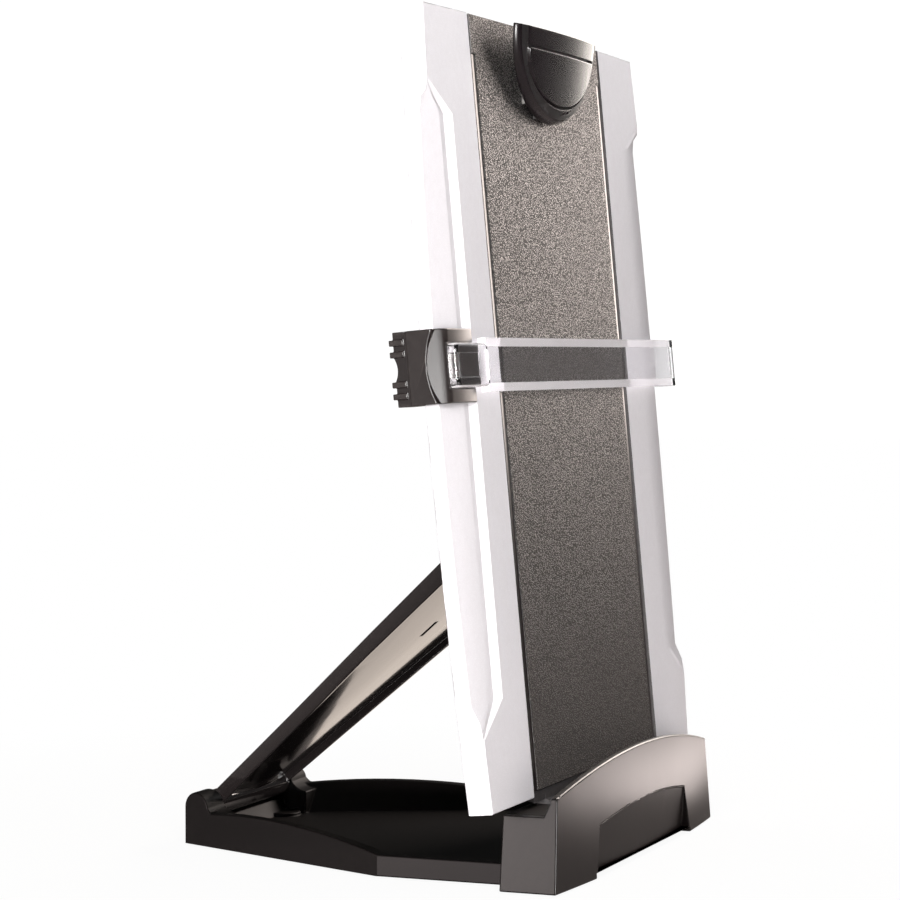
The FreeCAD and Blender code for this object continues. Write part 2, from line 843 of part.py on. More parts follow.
def hinge_cheeks(side):
    """Two cheeks under the ledge that hold one hinge pin, and the slot between them."""
    x = side * hinge_lug_half_span
    slot_half = hinge_lug_width / 2 + hinge_slot_gap
    cheek_half = slot_half + hinge_cheek
    rear = front_y + block_rear - shell_wall
    cheeks = box(
        x - cheek_half, x + cheek_half, hinge_y - hinge_lug_radius - hinge_slot_gap, rear,
        ledge_height - shell_wall - hinge_cheek_depth, ledge_height - shell_wall / 2)
    slot = box(
        x - slot_half, x + slot_half, hinge_y - hinge_lug_radius - hinge_slot_gap,
        front_y + block_rear + overrun,
        hinge_z - hinge_lug_radius - hinge_slot_gap, ledge_height + overrun)
    hole = rod_x(
        x - cheek_half - overrun, x + cheek_half + overrun, hinge_y, hinge_z,
        hinge_pin_radius + pin_gap)
    return cheeks, slot.fuse(hole)


def foot_places():
    front_half = block_width / 2 - foot_from_side
    return {
        "foot_front_left": (-front_half, front_y + foot_front),
        "foot_front_right": (front_half, front_y + foot_front),
        "foot_rear_left": (-foot_rear_half_span, rear_y - foot_rear_from_end),
        "foot_rear_right": (foot_rear_half_span, rear_y - foot_rear_from_end),
    }


def foot(place, gap=0):
    return rod_z(place[0], place[1], 0, foot_height - seat_gap + gap, foot_radius + gap)


def base_tray():
    """Base moulding: tray, rails, lugs for the strut, and the ledge in the front block."""
    ears = ear()
    tray = fuse([tray_shell(), block_core(), ears, mirror_x(ears)])
    barrel_room = rod_x(
        -ear_half_inner, ear_half_inner, strut_y, strut_z, barrel_radius + side_gap / 2)
    rod_hole = rod_x(
        -ear_half_inner - strut_rod_engagement - seat_gap,
        ear_half_inner + strut_rod_engagement + seat_gap,
        strut_y, strut_z, strut_rod_radius + pin_gap)
    tray = tray.cut(barrel_room).cut(rod_hole)
    for _, side in SIDES:
        cheeks, slot = hinge_cheeks(side)
        tray = tray.fuse(cheeks).cut(slot)
    for place in foot_places().values():
        tray = tray.fuse(rod_z(
            place[0], place[1], skirt_gap, foot_height + tray_floor,
            foot_radius + shell_wall).common(block_and_tray()))
        tray = tray.cut(foot(place, seat_gap))
    for x in post_places():
        head_low = skirt_gap + tray_floor - shell_wall / 2 - screw_head_height / 2
        tray = tray.cut(rod_z(
            x, front_y + post_back, 0, head_low + screw_head_height,
            screw_head_radius + pin_gap))
        tray = tray.cut(rod_z(
            x, front_y + post_back, 0, post_height, screw_radius + pin_gap))
    return tray.removeSplitter()


def block_and_tray():
    """Room inside which the sockets of the feet may grow."""
    high = ledge_height
    tray = Part.Face(tray_outline(0, skirt_gap)).extrude(Z_AXIS * (high - skirt_gap))
    return tray.fuse(block_solid(fascia_wall + seat_gap, skirt_gap, high))


def hinge_pin(side):
    half = hinge_lug_width / 2 + hinge_slot_gap + hinge_cheek
    x = side * hinge_lug_half_span
    return rod_x(x - half, x + half, hinge_y, hinge_z, hinge_pin_radius)


def strut_rod():
    half = ear_half_inner + strut_rod_engagement
    return rod_x(-half, half, strut_y, strut_z, strut_rod_radius)


# Strut frame: x across, y = minus the distance up the strut, z out of its upper face.


def on_strut(shape):
    return moved(turned(shape, -strut_rise(0)), y=strut_y, z=strut_z)


def strut_section(at, half, depth, chamfer):
    """Cross-section of the strut: dished panel between two deep edge walls."""
    top, under = strut_top, strut_top - strut_skin
    band = strut_top - strut_band
    inner = half - chamfer - strut_edge_wall
    right = [
        V(half, -at, top), V(half, -at, band), V(half - chamfer, -at, -depth),
        V(inner, -at, -depth), V(half - strut_edge_wall, -at, under),
    ]
    left = [V(-p.x, p.y, p.z) for p in right]
    edges = [Part.Arc(left[0], V(0, -at, top - strut_dish), right[0]).toShape()]
    edges += [Part.makeLine(right[i], right[i + 1]) for i in range(len(right) - 1)]
    edges.append(Part.Arc(right[-1], V(0, -at, under - strut_dish), left[-1]).toShape())
    edges += [Part.makeLine(left[i], left[i - 1]) for i in range(len(left) - 1, 0, -1)]
    return Part.Wire(edges)


def easel_strut():
    """Wide strut: hinge barrel at its foot, dished panel, and lugs for the top rod."""
    end_at = strut_reach - strut_end_back
    panel = Part.makeLoft([
        strut_section(strut_foot_at, strut_foot_half, strut_foot_depth, strut_foot_chamfer),
        strut_section(strut_bend_at, strut_bend_half, strut_bend_depth, strut_bend_chamfer),
        strut_section(end_at, strut_end_half, strut_end_depth, strut_end_chamfer),
    ], True, True)
    barrel = rod_x(-strut_foot_half, strut_foot_half, 0, 0, barrel_radius)
    end_wall = box(
        -strut_end_half + strut_edge_wall, strut_end_half - strut_edge_wall,
        -end_at, -end_at + strut_edge_wall, -strut_end_depth + strut_edge_wall,
        strut_top - strut_dish - strut_skin / 2)
    lugs = []
    for place in top_lug_places:
        for _, side in SIDES:
            x0 = side * place - top_lug_width / 2
            x1 = side * place + top_lug_width / 2
            eye = rod_x(x0, x1, -strut_reach, 0, top_lug_radius)
            arm = prism_x([
                (-strut_reach, -top_lug_radius), (-end_at + strut_edge_wall, -top_lug_radius),
                (-end_at + strut_edge_wall, -strut_skin / 2), (-strut_reach, top_lug_radius / 2),
            ], x0, x1)
            lugs.append(eye.fuse(arm))
    strut = fuse([panel, barrel, end_wall] + lugs)
    bore = rod_x(-strut_end_half, strut_end_half, 0, 0, strut_rod_radius + pin_gap)
    top_bore = rod_x(
        -strut_end_half, strut_end_half, -strut_reach, 0, top_rod_radius + pin_gap)
    slot_y = -(end_at - slot_from_end)
    slot = box(-slot_width / 2, slot_width / 2, slot_y - slot_length / 2,
               slot_y + slot_length / 2, -strut_end_depth, strut_top + overrun)
    return on_strut(strut.cut(bore).cut(top_bore).cut(slot))


def strut_top_rod():
    return on_strut(rod_x(-top_rod_half, top_rod_half, -strut_reach, 0, top_rod_radius))


# Line guide, in the board's frame
guide_half = board_half + board_bulge + guide_side_gap + slider_wall
slider_inner = track_inner + slider_lap
boss_left = guide_half - boss_side_back
boss_right = slider_inner - boss_lap
peg_left = boss_left - peg_side_cover
peg_right = slider_inner + peg_end_back


def guide_bar():
    """Clear bar: thin web between two rims, a boss on the left and a hook on the right."""
    low, high = guide_centre - guide_height / 2, guide_centre + guide_height / 2
    back = -guide_front + guide_depth
    web_front = -guide_front + (guide_depth - guide_web) / 2
    x0, x1 = -boss_right - boss_round, guide_half
    rims = [box(x0, x1, -guide_front, back, z, z + guide_rim)
            for z in (low, high - guide_rim)]
    web = box(x0, x1, web_front, web_front + guide_web, low, high)
    boss = box(
        -boss_left, -boss_right, -guide_front, -boss_lift,
        guide_centre - boss_height / 2, guide_centre + boss_height / 2)
    corners = [e for e in boss.Edges if e.BoundBox.YLength > guide_depth]
    boss = boss.makeFillet(boss_round, corners)
    front = [e for e in boss.Edges if e.BoundBox.YMax < -guide_front / 2]
    boss = boss.makeFillet(boss_round / 2, front)
    boss = boss.cut(peg(peg_gap))
    inner_x = guide_half - guide_wall
    rear = board_thickness + seat_gap
    hook = fuse([
        box(inner_x, guide_half, -guide_front, rear + slider_back_leg, low, high),
        box(guide_half - hook_reach, guide_half, rear, rear + slider_back_leg, low, high),
    ])
    hook_corner = [e for e in hook.Edges if e.BoundBox.ZLength > guide_height / 2
                   and e.BoundBox.XMin > inner_x + seat_gap]
    bar = fuse([web, rims[0], rims[1], boss, hook.makeFillet(guide_wall / 2, hook_corner)])
    clear_back = box(-boss_right + seat_gap, inner_x, back, 0, low - overrun, high + overrun)
    return on_board(bar.cut(clear_back))


def peg(gap):
    """Rectangular peg of the slider that the clear boss is pushed on to."""
    return box(
        -peg_left - gap, -peg_right + gap, -guide_front + peg_cover - gap, board_thickness,
        guide_centre - peg_height / 2 - gap, guide_centre + peg_height / 2 + gap)


def guide_slider():
    """Dark bracket round the board's left edge: front leg, side wall and rear leg."""
    low = guide_centre - slider_height / 2
    high = guide_centre + slider_height / 2
    face = -slider_face
    floor = track_depth - seat_gap
    rear = board_thickness + slider_back_gap
    rear_end = rear + slider_back_leg
    inner_x = -guide_half + slider_wall
    corner = slider_wall / 5
    bevel_x = -guide_half + slider_bevel
    section = [
        (-slider_inner, face), (bevel_x, face), (-guide_half, face + slider_bevel_depth),
        (-guide_half, rear_end), (-guide_half + slider_back_reach, rear_end),
        (-guide_half + slider_back_reach, rear), (inner_x, rear),
        (inner_x, floor + corner), (inner_x + corner, floor), (-groove_end, floor),
        (-groove_bottom - keel_width, groove_depth - keel_clearance),
        (-groove_bottom, groove_depth - keel_clearance), (-slider_inner, 0),
    ]
    bracket = Part.Face(polygon([V(x, y, low) for x, y in section]))
    bracket = bracket.extrude(Z_AXIS * (high - low))
    deepest = face + scoop_run
    scoop = rod_x(
        -guide_half - overrun, -guide_half + scoop_run + overrun, deepest - scoop_radius,
        guide_centre, scoop_radius)
    ramp = prism_z([
        (-guide_half - overrun, deepest + overrun), (-guide_half - overrun, face - overrun),
        (-guide_half + scoop_run + overrun, face - overrun),
    ], low - overrun, high + overrun)
    bracket = bracket.cut(scoop.common(ramp))
    pocket = box(
        -boss_left - peg_gap, -slider_inner + overrun, face - overrun, peg_gap - boss_lift,
        guide_centre - boss_height / 2 - peg_gap, guide_centre + boss_height / 2 + peg_gap)
    solid_peg = peg(0).common(box(
        -guide_half, 0, -guide_front, floor, low, high))
    bracket = bracket.cut(pocket)
    return on_board(bracket.fuse(solid_peg).removeSplitter())


def prism_z(points, z0, z1):
    """Solid over the outline points (x, y), from z0 to z1."""
    return Part.Face(polygon([V(x, y, z0) for x, y in points])).extrude(Z_AXIS * (z1 - z0))


def guide_grip():
    """Ribbed thumb grip behind the slider."""
    low = guide_centre - slider_height / 2
    high = guide_centre + slider_height / 2
    start = board_thickness + slider_back_gap + slider_back_leg
    x0 = -guide_half + guide_wall / 2
    x1 = x0 + grip_width
    block = box(x0, x1, start, start + grip_depth, low, high)
    ridges = []
    for offset in (grip_ridge_spread, grip_ridge_spread + 2 * grip_ridge_height):
        for sign in (-1, 1):
            z = guide_centre + sign * offset
            ridges.append(box(
                x0 - grip_ridge / 2, x1, start + grip_ridge, start + grip_depth + grip_ridge,
                z - grip_ridge_height / 2, z + grip_ridge_height / 2))
    hollow = rod_x(
        x0 - overrun, x1 + overrun,
        start + grip_depth + grip_hollow_radius - grip_hollow_depth, guide_centre,
        grip_hollow_radius)
    return on_board(fuse([block.cut(hollow)] + ridges))


def guide_pad():
    """Friction pad on the slider's rear leg."""
    x1 = -guide_half + slider_back_reach - seat_gap
    rear = board_thickness + slider_back_gap
    return on_board(box(
        x1 - pad_width, x1, rear - pad_thickness, rear,
        guide_centre - pad_height / 2, guide_centre + pad_height / 2))


# Clip frame: x across, y out of the board's side of the rim plane, z up from the jaw.
clip_bottom = board_height - clip_down


def on_clip(shape):
    return on_board(moved(turned(shape, clip_tilt), y=-clip_stand, z=clip_bottom))


def d_wire(half, top, bottom, y):
    """D outline: straight top edge and half an ellipse below it."""
    drop = top - bottom
    major, minor = max(half, drop), min(half, drop)
    centre = V(0, y, top)
    along = V(half, y, top) if half > drop else V(0, y, bottom)
    across = V(0, y, bottom) if half > drop else V(half, y, top)
    ellipse = Part.Ellipse(along, across, centre)
    curve = Part.Arc(ellipse, 0, math.pi) if half > drop else Part.Arc(
        ellipse, -math.pi / 2, math.pi / 2)
    edge = curve.toShape()
    ends = [v.Point for v in edge.Vertexes]
    return Part.Wire([edge, Part.makeLine(ends[-1], ends[0])])


def dome_wire(share):
    """Outline of the clip's shell, from its rim to its front, along a quarter ellipse."""
    turn = share * math.pi / 2
    inset = 1 - math.cos(turn)
    return d_wire(
        clip_half_width - (clip_half_width - clip_face_half - clip_groove) * inset,
        clip_height, (clip_face_bottom - clip_groove) * inset,
        -(clip_rim + clip_rise) * math.sin(turn))


def clip_body():
    """Domed D-shaped lever with an inner face in a groove and two lugs for its pin."""
    front = -clip_rim - clip_rise
    dome = Part.makeLoft([dome_wire(i / dome_steps) for i in range(dome_steps + 1)], True, True)
    face_top = clip_height - clip_face_top
    groove = Part.Face(d_wire(clip_face_half, face_top, clip_face_bottom, front - overrun))
    groove = groove.extrude(Y_AXIS * (clip_groove_depth + overrun))
    face = Part.Face(d_wire(
        clip_face_half - clip_groove, face_top - clip_groove, clip_face_bottom + clip_groove,
        front + clip_groove_depth))
    face = face.extrude(Y_AXIS * (-clip_face_raise - clip_groove_depth))
    hollow = Part.makeLoft([
        d_wire(clip_half_width - clip_skin, clip_height - clip_skin, clip_skin, overrun),
        d_wire(clip_half_width - clip_skin, clip_height - clip_skin, clip_skin, -clip_rim),
        d_wire(clip_face_half - clip_skin, clip_height - clip_face_top - clip_skin,
               clip_face_bottom + clip_skin, -clip_rim - clip_rise + clip_skin / 2),
    ], True, True)
    body = dome.cut(groove).fuse(face).cut(hollow)
    lugs = []
    for _, side in SIDES:
        x0 = side * clip_lug_at - clip_lug_width / 2
        x1 = side * clip_lug_at + clip_lug_width / 2
        eye = rod_x(x0, x1, clip_pin_in, clip_pin_up, clip_lug_radius)
        web = box(x0, x1, -clip_rim - clip_rise, clip_pin_in,
                  clip_pin_up - clip_lug_radius, clip_pin_up + clip_lug_radius)
        lugs.append(eye.fuse(web))
    body = fuse([body] + lugs)
    hole = rod_x(-clip_pin_half, clip_pin_half, clip_pin_in, clip_pin_up,
                 clip_pin_radius + pin_gap)
    return on_clip(body.cut(hole))


def clip_axis():
    """Pin axis in the board's frame: depth and height up the board."""
    angle = math.radians(clip_tilt)
    depth = -clip_stand + clip_pin_in * math.cos(angle) - clip_pin_up * math.sin(angle)
    height = clip_bottom + clip_pin_in * math.sin(angle) + clip_pin_up * math.cos(angle)
    return depth, height


def clip_bracket():
    """Plate on the panel with two ears that hold the clip's pin."""
    depth, height = clip_axis()
    plate = box(
        -bracket_half, bracket_half, panel_inset - bracket_plate, panel_inset,
        height - bracket_height / 2, height + bracket_height / 2)
    ears = []
    for _, side in SIDES:
        x0 = side * bracket_ear_at - bracket_ear / 2
        x1 = side * bracket_ear_at + bracket_ear / 2
        eye = rod_x(x0, x1, depth, height, clip_lug_radius)
        stem = box(x0, x1, depth, panel_inset, height - bracket_ear_half_height,
                   height + bracket_ear_half_height)
        ears.append(eye.fuse(stem))
    bracket = fuse([plate] + ears)
    hole = rod_x(-bracket_half, bracket_half, depth, height, clip_pin_radius + pin_gap)
    return on_board(bracket.cut(hole))


def clip_pin():
    depth, height = clip_axis()
    return on_board(rod_x(-clip_pin_half, clip_pin_half, depth, height, clip_pin_radius))


def spring_point(turn):
    """Place on the wire's middle line: pin along x."""
    angle = 2 * math.pi * (turn + spring_start_share)
    return V(spring_pitch * turn, spring_radius * math.sin(angle),
             spring_radius * math.cos(angle))


def spring_heading(turn):
    angle = 2 * math.pi * (turn + spring_start_share)
    around = 2 * math.pi * spring_radius
    return V(spring_pitch, around * math.cos(angle), -around * math.sin(angle)).normalize()


def arc_between(start, control, end):
    """Arc that leaves start towards the control point and reaches end from it."""
    middle = (start + end) * 0.5
    half_chord = (end - start).Length / 2
    half_turn = math.acos(half_chord / (control - start).Length)
    sag = (control - middle) * (math.tan(half_turn / 2) / math.tan(half_turn))
    return Part.Arc(start, middle + sag, end).toShape()


def biarc(start, start_heading, end, end_heading):
    """Two arcs that join two places with the given headings."""
    gap = end - start
    both = start_heading + end_heading
    bend = 2 * (1 - start_heading.dot(end_heading))
    run = (math.sqrt(gap.dot(both) ** 2 + bend * gap.dot(gap)) - gap.dot(both)) / bend
    first, last = start + start_heading * run, end - end_heading * run
    joint = (first + last) * 0.5
    return [arc_between(start, first, joint), arc_between(joint, last, end)]


def spring_gap():
    """Least gap between the turns of the spring, measured on points."""
    steps_per_turn = 24
    points = [spring_point(i / steps_per_turn)
              for i in range(int(spring_turns * steps_per_turn) + 1)]
    least = min((points[j] - points[i]).Length
                for i in range(len(points))
                for j in range(i + steps_per_turn // 2, len(points)))
    return least - 2 * spring_wire_radius


def clip_spring():
    """Torsion spring round the clip's pin, with a straight leg at each end."""
    depth, height = clip_axis()
    quarter = 1 / 4
    turns = [quarter * i for i in range(int(spring_turns / quarter) + 1)]
    start, end = spring_point(turns[0]), spring_point(turns[-1])
    edges = [Part.makeLine(start - spring_heading(turns[0]) * spring_leg, start)]
    for first, last in zip(turns, turns[1:]):
        edges += biarc(spring_point(first), spring_heading(first),
                       spring_point(last), spring_heading(last))
    edges.append(Part.makeLine(end, end + spring_heading(turns[-1]) * spring_leg))
    path = Part.Wire(edges)
    profile = Part.Wire(Part.makeCircle(
        spring_wire_radius, edges[0].Vertexes[0].Point, spring_heading(turns[0])))
    coil = path.makePipeShell([profile], True, False)
    span = spring_pitch * spring_turns
    return on_board(moved(coil, -span / 2, depth, height))


def clip_pad():
    """Rubber strip under the clip's jaw."""
    low = clip_bottom + jaw_pad_up
    return on_board(box(
        -jaw_pad_half, jaw_pad_half, -clip_stand - jaw_pad_up * math.tan(math.radians(clip_tilt)),
        panel_inset - seat_gap, low, low + jaw_pad_height))


parts = {
    "base_tray": base_tray(),
    "front_fascia": front_fascia(),
    "base_screws": base_screws(),
    "strut_hinge_rod": strut_rod(),
    "easel_strut": easel_strut(),
    "strut_top_rod": strut_top_rod(),
    "board_front_shell": board_front(),
    "board_back_cover": board_back(),
    "shell_screws": shell_screws(),
    "rack_screws": rack_screws(),
    "memo_board": memo_board(),
    "centre_panel": centre_panel(),
    "guide_bar": guide_bar(),
    "guide_slider": guide_slider(),
    "guide_grip": guide_grip(),
    "guide_pad": guide_pad(),
    "clip_body": clip_body(),
    "clip_bracket": clip_bracket(),
    "clip_pin": clip_pin(),
    "clip_spring": clip_spring(),
    "clip_jaw_pad": clip_pad(),
}
for name, place in foot_places().items():
    parts[name] = foot(place)
for side_name, side in SIDES:
    parts["hinge_pin_" + side_name] = hinge_pin(side)
    parts["tilt_rack_" + side_name] = rack(side)

os.makedirs("parts", exist_ok=True)
for name, shape in parts.items():
    shape.exportStep("parts/" + name + ".step")
    print(name, "valid" if shape.isValid() else "INVALID", len(shape.Solids),
          round(shape.Volume / 1000, 2), "cm3")
print("hinge axis", round(hinge_y, 3), round(hinge_z, 3))
print("strut axis", round(strut_y, 3), round(strut_z, 3))
print("notches up the board", [round(v, 1) for v in notch_places()])
depth, height = clip_axis()
pin = on_board(Part.Vertex(0, depth, height)).Point
print("clip pin", round(pin.y, 3), round(pin.z, 3))
print("strut rise", round(strut_rise(0), 3), "to", round(strut_rise(tilt_angle), 3),
      "ratio", round((strut_rise(tilt_angle) - strut_rise(0)) / tilt_angle, 5))
print("spring's least gap to itself", round(spring_gap(), 2), "mm")
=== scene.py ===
import json
from math import cos, radians, sin

import bmesh
import bpy
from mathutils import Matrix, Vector


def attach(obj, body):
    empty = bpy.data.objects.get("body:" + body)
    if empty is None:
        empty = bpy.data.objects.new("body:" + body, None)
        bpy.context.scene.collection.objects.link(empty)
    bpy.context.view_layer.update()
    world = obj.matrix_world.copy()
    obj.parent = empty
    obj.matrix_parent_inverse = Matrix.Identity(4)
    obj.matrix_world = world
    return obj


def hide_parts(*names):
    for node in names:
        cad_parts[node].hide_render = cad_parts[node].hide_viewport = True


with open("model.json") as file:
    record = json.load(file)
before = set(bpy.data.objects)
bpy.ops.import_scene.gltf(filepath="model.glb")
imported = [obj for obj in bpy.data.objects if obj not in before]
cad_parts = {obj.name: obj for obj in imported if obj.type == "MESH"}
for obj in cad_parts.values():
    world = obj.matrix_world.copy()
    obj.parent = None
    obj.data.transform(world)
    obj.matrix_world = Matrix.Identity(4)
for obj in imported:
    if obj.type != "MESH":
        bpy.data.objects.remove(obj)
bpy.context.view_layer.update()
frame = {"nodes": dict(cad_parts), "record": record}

scene = bpy.context.scene
print("frame is in, nodes:", len(frame["nodes"]))


# Nodes and shader groups

# adds a node, sets it up, and fills its sockets or links them
def put(tree, kind, inputs=None, **settings):
    node = tree.nodes.new(kind)
    for name, value in settings.items():
        setattr(node, name, value)
    for name, value in (inputs or {}).items():
        if isinstance(value, bpy.types.NodeSocket):
            tree.links.new(value, node.inputs[name])
        else:
            node.inputs[name].default_value = value
    return node


def mixColour(tree, factor, first, second):
    return put(tree, "ShaderNodeMix", {0: factor, 6: first, 7: second},
               data_type="RGBA").outputs[2]


def remap(tree, value, low, high, newLow=0.0, newHigh=1.0):
    return put(tree, "ShaderNodeMapRange", {"Value": value, "From Min": low, "From Max": high,
                                            "To Min": newLow, "To Max": newHigh}).outputs[0]


def sums(tree, kind, first, second):
    return put(tree, "ShaderNodeMath", {0: first, 1: second}, operation=kind).outputs[0]


def solid(colour):  # a colour as a socket takes it
    return (*colour, 1)


def ownPlace(tree):  # coordinates that stay with the piece
    return put(tree, "ShaderNodeTexCoord").outputs["Object"]


def noiseOver(tree, place, scale, shape):
    values = {"Vector": place, "Scale": scale, "Detail": shape["detail"],
              "Roughness": shape.get("broken", 0.5), "Distortion": shape.get("swirl", 0.0)}
    return put(tree, "ShaderNodeTexNoise", values).outputs[0]


def startGroup(name, sockets, results):
    group = bpy.data.node_groups.new(name, "ShaderNodeTree")
    for label, value in sockets.items():
        socket = group.interface.new_socket(name=label, in_out="INPUT",
                                            socket_type="NodeSocketFloat")
        socket.default_value = value
    for label in results:
        group.interface.new_socket(name=label, in_out="OUTPUT", socket_type="NodeSocketFloat")
    return group, group.nodes.new("NodeGroupInput").outputs, group.nodes.new("NodeGroupOutput")


def useGroup(tree, group, **values):
    return put(tree, "ShaderNodeGroup", values, node_tree=group).outputs


grainShape = {"scale": 1800.0, "detail": 4.0, "broken": 0.62, "fleckIn": 0.12, "fleckOut": 0.42}


def makeGrainGroup():  # fine moulded grain, with lighter flecks
    group, given, out = startGroup("mouldGrain", {"Scale": grainShape["scale"]},
                                   ["Height", "Fleck"])
    place = ownPlace(group)
    noise = noiseOver(group, place, given["Scale"], grainShape)
    cells = put(group, "ShaderNodeTexVoronoi", {"Vector": place, "Scale": given["Scale"]})
    flecks = remap(group, cells.outputs["Distance"], grainShape["fleckIn"],
                   grainShape["fleckOut"], 1.0, 0.0)
    group.links.new(noise, out.inputs["Height"])
    group.links.new(flecks, out.inputs["Fleck"])
    return group


pebbleShape = {"scale": 900.0, "stretch": (0.62, 1.0, 1.0), "smooth": 0.45, "detail": 3.0,
               "broken": 0.6, "topIn": 0.15, "topOut": 0.62, "roundShare": 0.7,
               "hollowTop": 0.42, "hollowFloor": 0.22}


def makePebbleGroup():  # round-topped pebbles, with a mask of the hollows between them, which the panel's finish darkens as painted shade
    group, given, out = startGroup("pebbleGrain", {"Scale": pebbleShape["scale"]},
                                   ["Height", "HollowShade"])
    place = put(group, "ShaderNodeMapping",
                {"Vector": ownPlace(group), "Scale": pebbleShape["stretch"]}).outputs[0]
    cells = put(group, "ShaderNodeTexVoronoi",
                {"Vector": place, "Scale": given["Scale"], "Smoothness": pebbleShape["smooth"]},
                feature="SMOOTH_F1")
    noise = noiseOver(group, place, given["Scale"], pebbleShape)
    tops = remap(group, cells.outputs["Distance"], pebbleShape["topIn"], pebbleShape["topOut"],
                 1.0, 0.0)
    height = sums(group, "ADD", sums(group, "MULTIPLY", tops, pebbleShape["roundShare"]),
                  sums(group, "MULTIPLY", noise, 1 - pebbleShape["roundShare"]))
    # the mask of the hollows, where painted shade goes
    hollowShadeMask = remap(group, height, pebbleShape["hollowTop"], pebbleShape["hollowFloor"])
    group.links.new(height, out.inputs["Height"])
    group.links.new(hollowShadeMask, out.inputs["HollowShade"])
    return group


wearShape = {"amount": 0.5, "scale": 320.0, "detail": 5.0, "broken": 0.7, "edgeFrom": 0.52,
             "edgeFull": 0.62, "gapFrom": 0.35, "gapFull": 0.62, "least": 0.25}


def makeWearGroup():  # a broken line along the edges, from how sharply the surface turns; on the dark plastics its light colour is partly wear and partly a painted highlight along the edges
    group, given, out = startGroup(
        "edgeWear", {"Amount": wearShape["amount"], "Scale": wearShape["scale"]}, ["Mask"])
    noise = noiseOver(group, ownPlace(group), given["Scale"], wearShape)
    turn = put(group, "ShaderNodeNewGeometry").outputs["Pointiness"]
    edge = remap(group, turn, wearShape["edgeFrom"], wearShape["edgeFull"])
    broken = remap(group, noise, wearShape["gapFrom"], wearShape["gapFull"],
                   wearShape["least"], 1.0)
    line = sums(group, "MULTIPLY", edge, broken)
    group.links.new(sums(group, "MULTIPLY", line, given["Amount"]), out.inputs["Mask"])
    return group


patchShape = {"scale": 22.0, "detail": 1.0, "broken": 0.5, "swirl": 0.4, "low": 0.3, "high": 0.7}


def makeHandlingGroup():  # broad uneven patches where hands and cloths have been
    group, given, out = startGroup("handling", {"Scale": patchShape["scale"]}, ["Patch"])
    noise = noiseOver(group, ownPlace(group), given["Scale"], patchShape)
    group.links.new(remap(group, noise, patchShape["low"], patchShape["high"]),
                    out.inputs["Patch"])
    return group


dustShape = {"amount": 0.3, "scale": 260.0, "detail": 6.0, "broken": 0.75, "flatFrom": 0.55,
             "clearTo": 0.48, "fullFrom": 0.7}


def makeDustGroup():  # a little dust on what faces up
    group, given, out = startGroup(
        "dustFall", {"Amount": dustShape["amount"], "Scale": dustShape["scale"]}, ["Mask"])
    noise = noiseOver(group, ownPlace(group), given["Scale"], dustShape)
    normal = put(group, "ShaderNodeNewGeometry").outputs["Normal"]
    upward = put(group, "ShaderNodeSeparateXYZ", {0: normal}).outputs["Z"]
    lying = sums(group, "MULTIPLY", remap(group, upward, dustShape["flatFrom"], 1.0),
                 remap(group, noise, dustShape["clearTo"], dustShape["fullFrom"]))
    group.links.new(sums(group, "MULTIPLY", lying, given["Amount"]), out.inputs["Mask"])
    return group


mouldGrain = makeGrainGroup()
pebbleGrain = makePebbleGroup()
edgeWear = makeWearGroup()
handling = makeHandlingGroup()
dustFall = makeDustGroup()
print("shader groups are made")


# Finishes

def startMaterial(name):
    material = bpy.data.materials.new(name)
    material.use_nodes = True
    tree = material.node_tree
    tree.nodes.clear()
    surface = tree.nodes.new("ShaderNodeBsdfPrincipled")
    output = tree.nodes.new("ShaderNodeOutputMaterial")
    tree.links.new(surface.outputs[0], output.inputs["Surface"])
    return material, tree, surface.inputs


def addBump(tree, surface, height, look):
    bump = put(tree, "ShaderNodeBump", {"Height": height, "Distance": look["grainDepth"],
                                        "Strength": look["grainStrength"]})
    tree.links.new(bump.outputs[0], surface["Normal"])


dustLook = {"colour": (0.42, 0.40, 0.38), "rougher": 0.3}


def mouldedPlastic(name, look):  # body colour, flecks, wear and dust over a grained surface
    material, tree, surface = startMaterial(name)
    grain = useGroup(tree, mouldGrain, Scale=look["grainScale"])
    patch = useGroup(tree, handling, Scale=look["patchScale"])["Patch"]
    wear = useGroup(tree, edgeWear, Amount=look["wear"])["Mask"]
    dust = useGroup(tree, dustFall, Amount=look["dust"])["Mask"]
    colour = mixColour(tree, sums(tree, "MULTIPLY", grain["Fleck"], look["fleckShare"]),
                       solid(look["colour"]), solid(look["fleckColour"]))
    colour = mixColour(tree, sums(tree, "MULTIPLY", patch, look["patchShare"]), colour,
                       solid(look["patchColour"]))
    colour = mixColour(tree, wear, colour, solid(look["wearColour"]))
    colour = mixColour(tree, dust, colour, solid(dustLook["colour"]))
    rough = remap(tree, patch, 0.0, 1.0, look["roughLow"], look["roughHigh"])
    rough = sums(tree, "ADD", rough, sums(tree, "MULTIPLY", dust, dustLook["rougher"]))
    tree.links.new(colour, surface["Base Color"])
    tree.links.new(rough, surface["Roughness"])
    addBump(tree, surface, grain["Height"], look)
    surface["Metallic"].default_value = look["metallic"]
    surface["IOR"].default_value = look["ior"]
    surface["Specular IOR Level"].default_value = look["gloss"]
    surface["Coat Weight"].default_value = look["coat"]
    surface["Coat Roughness"].default_value = look["coatRough"]
    return material


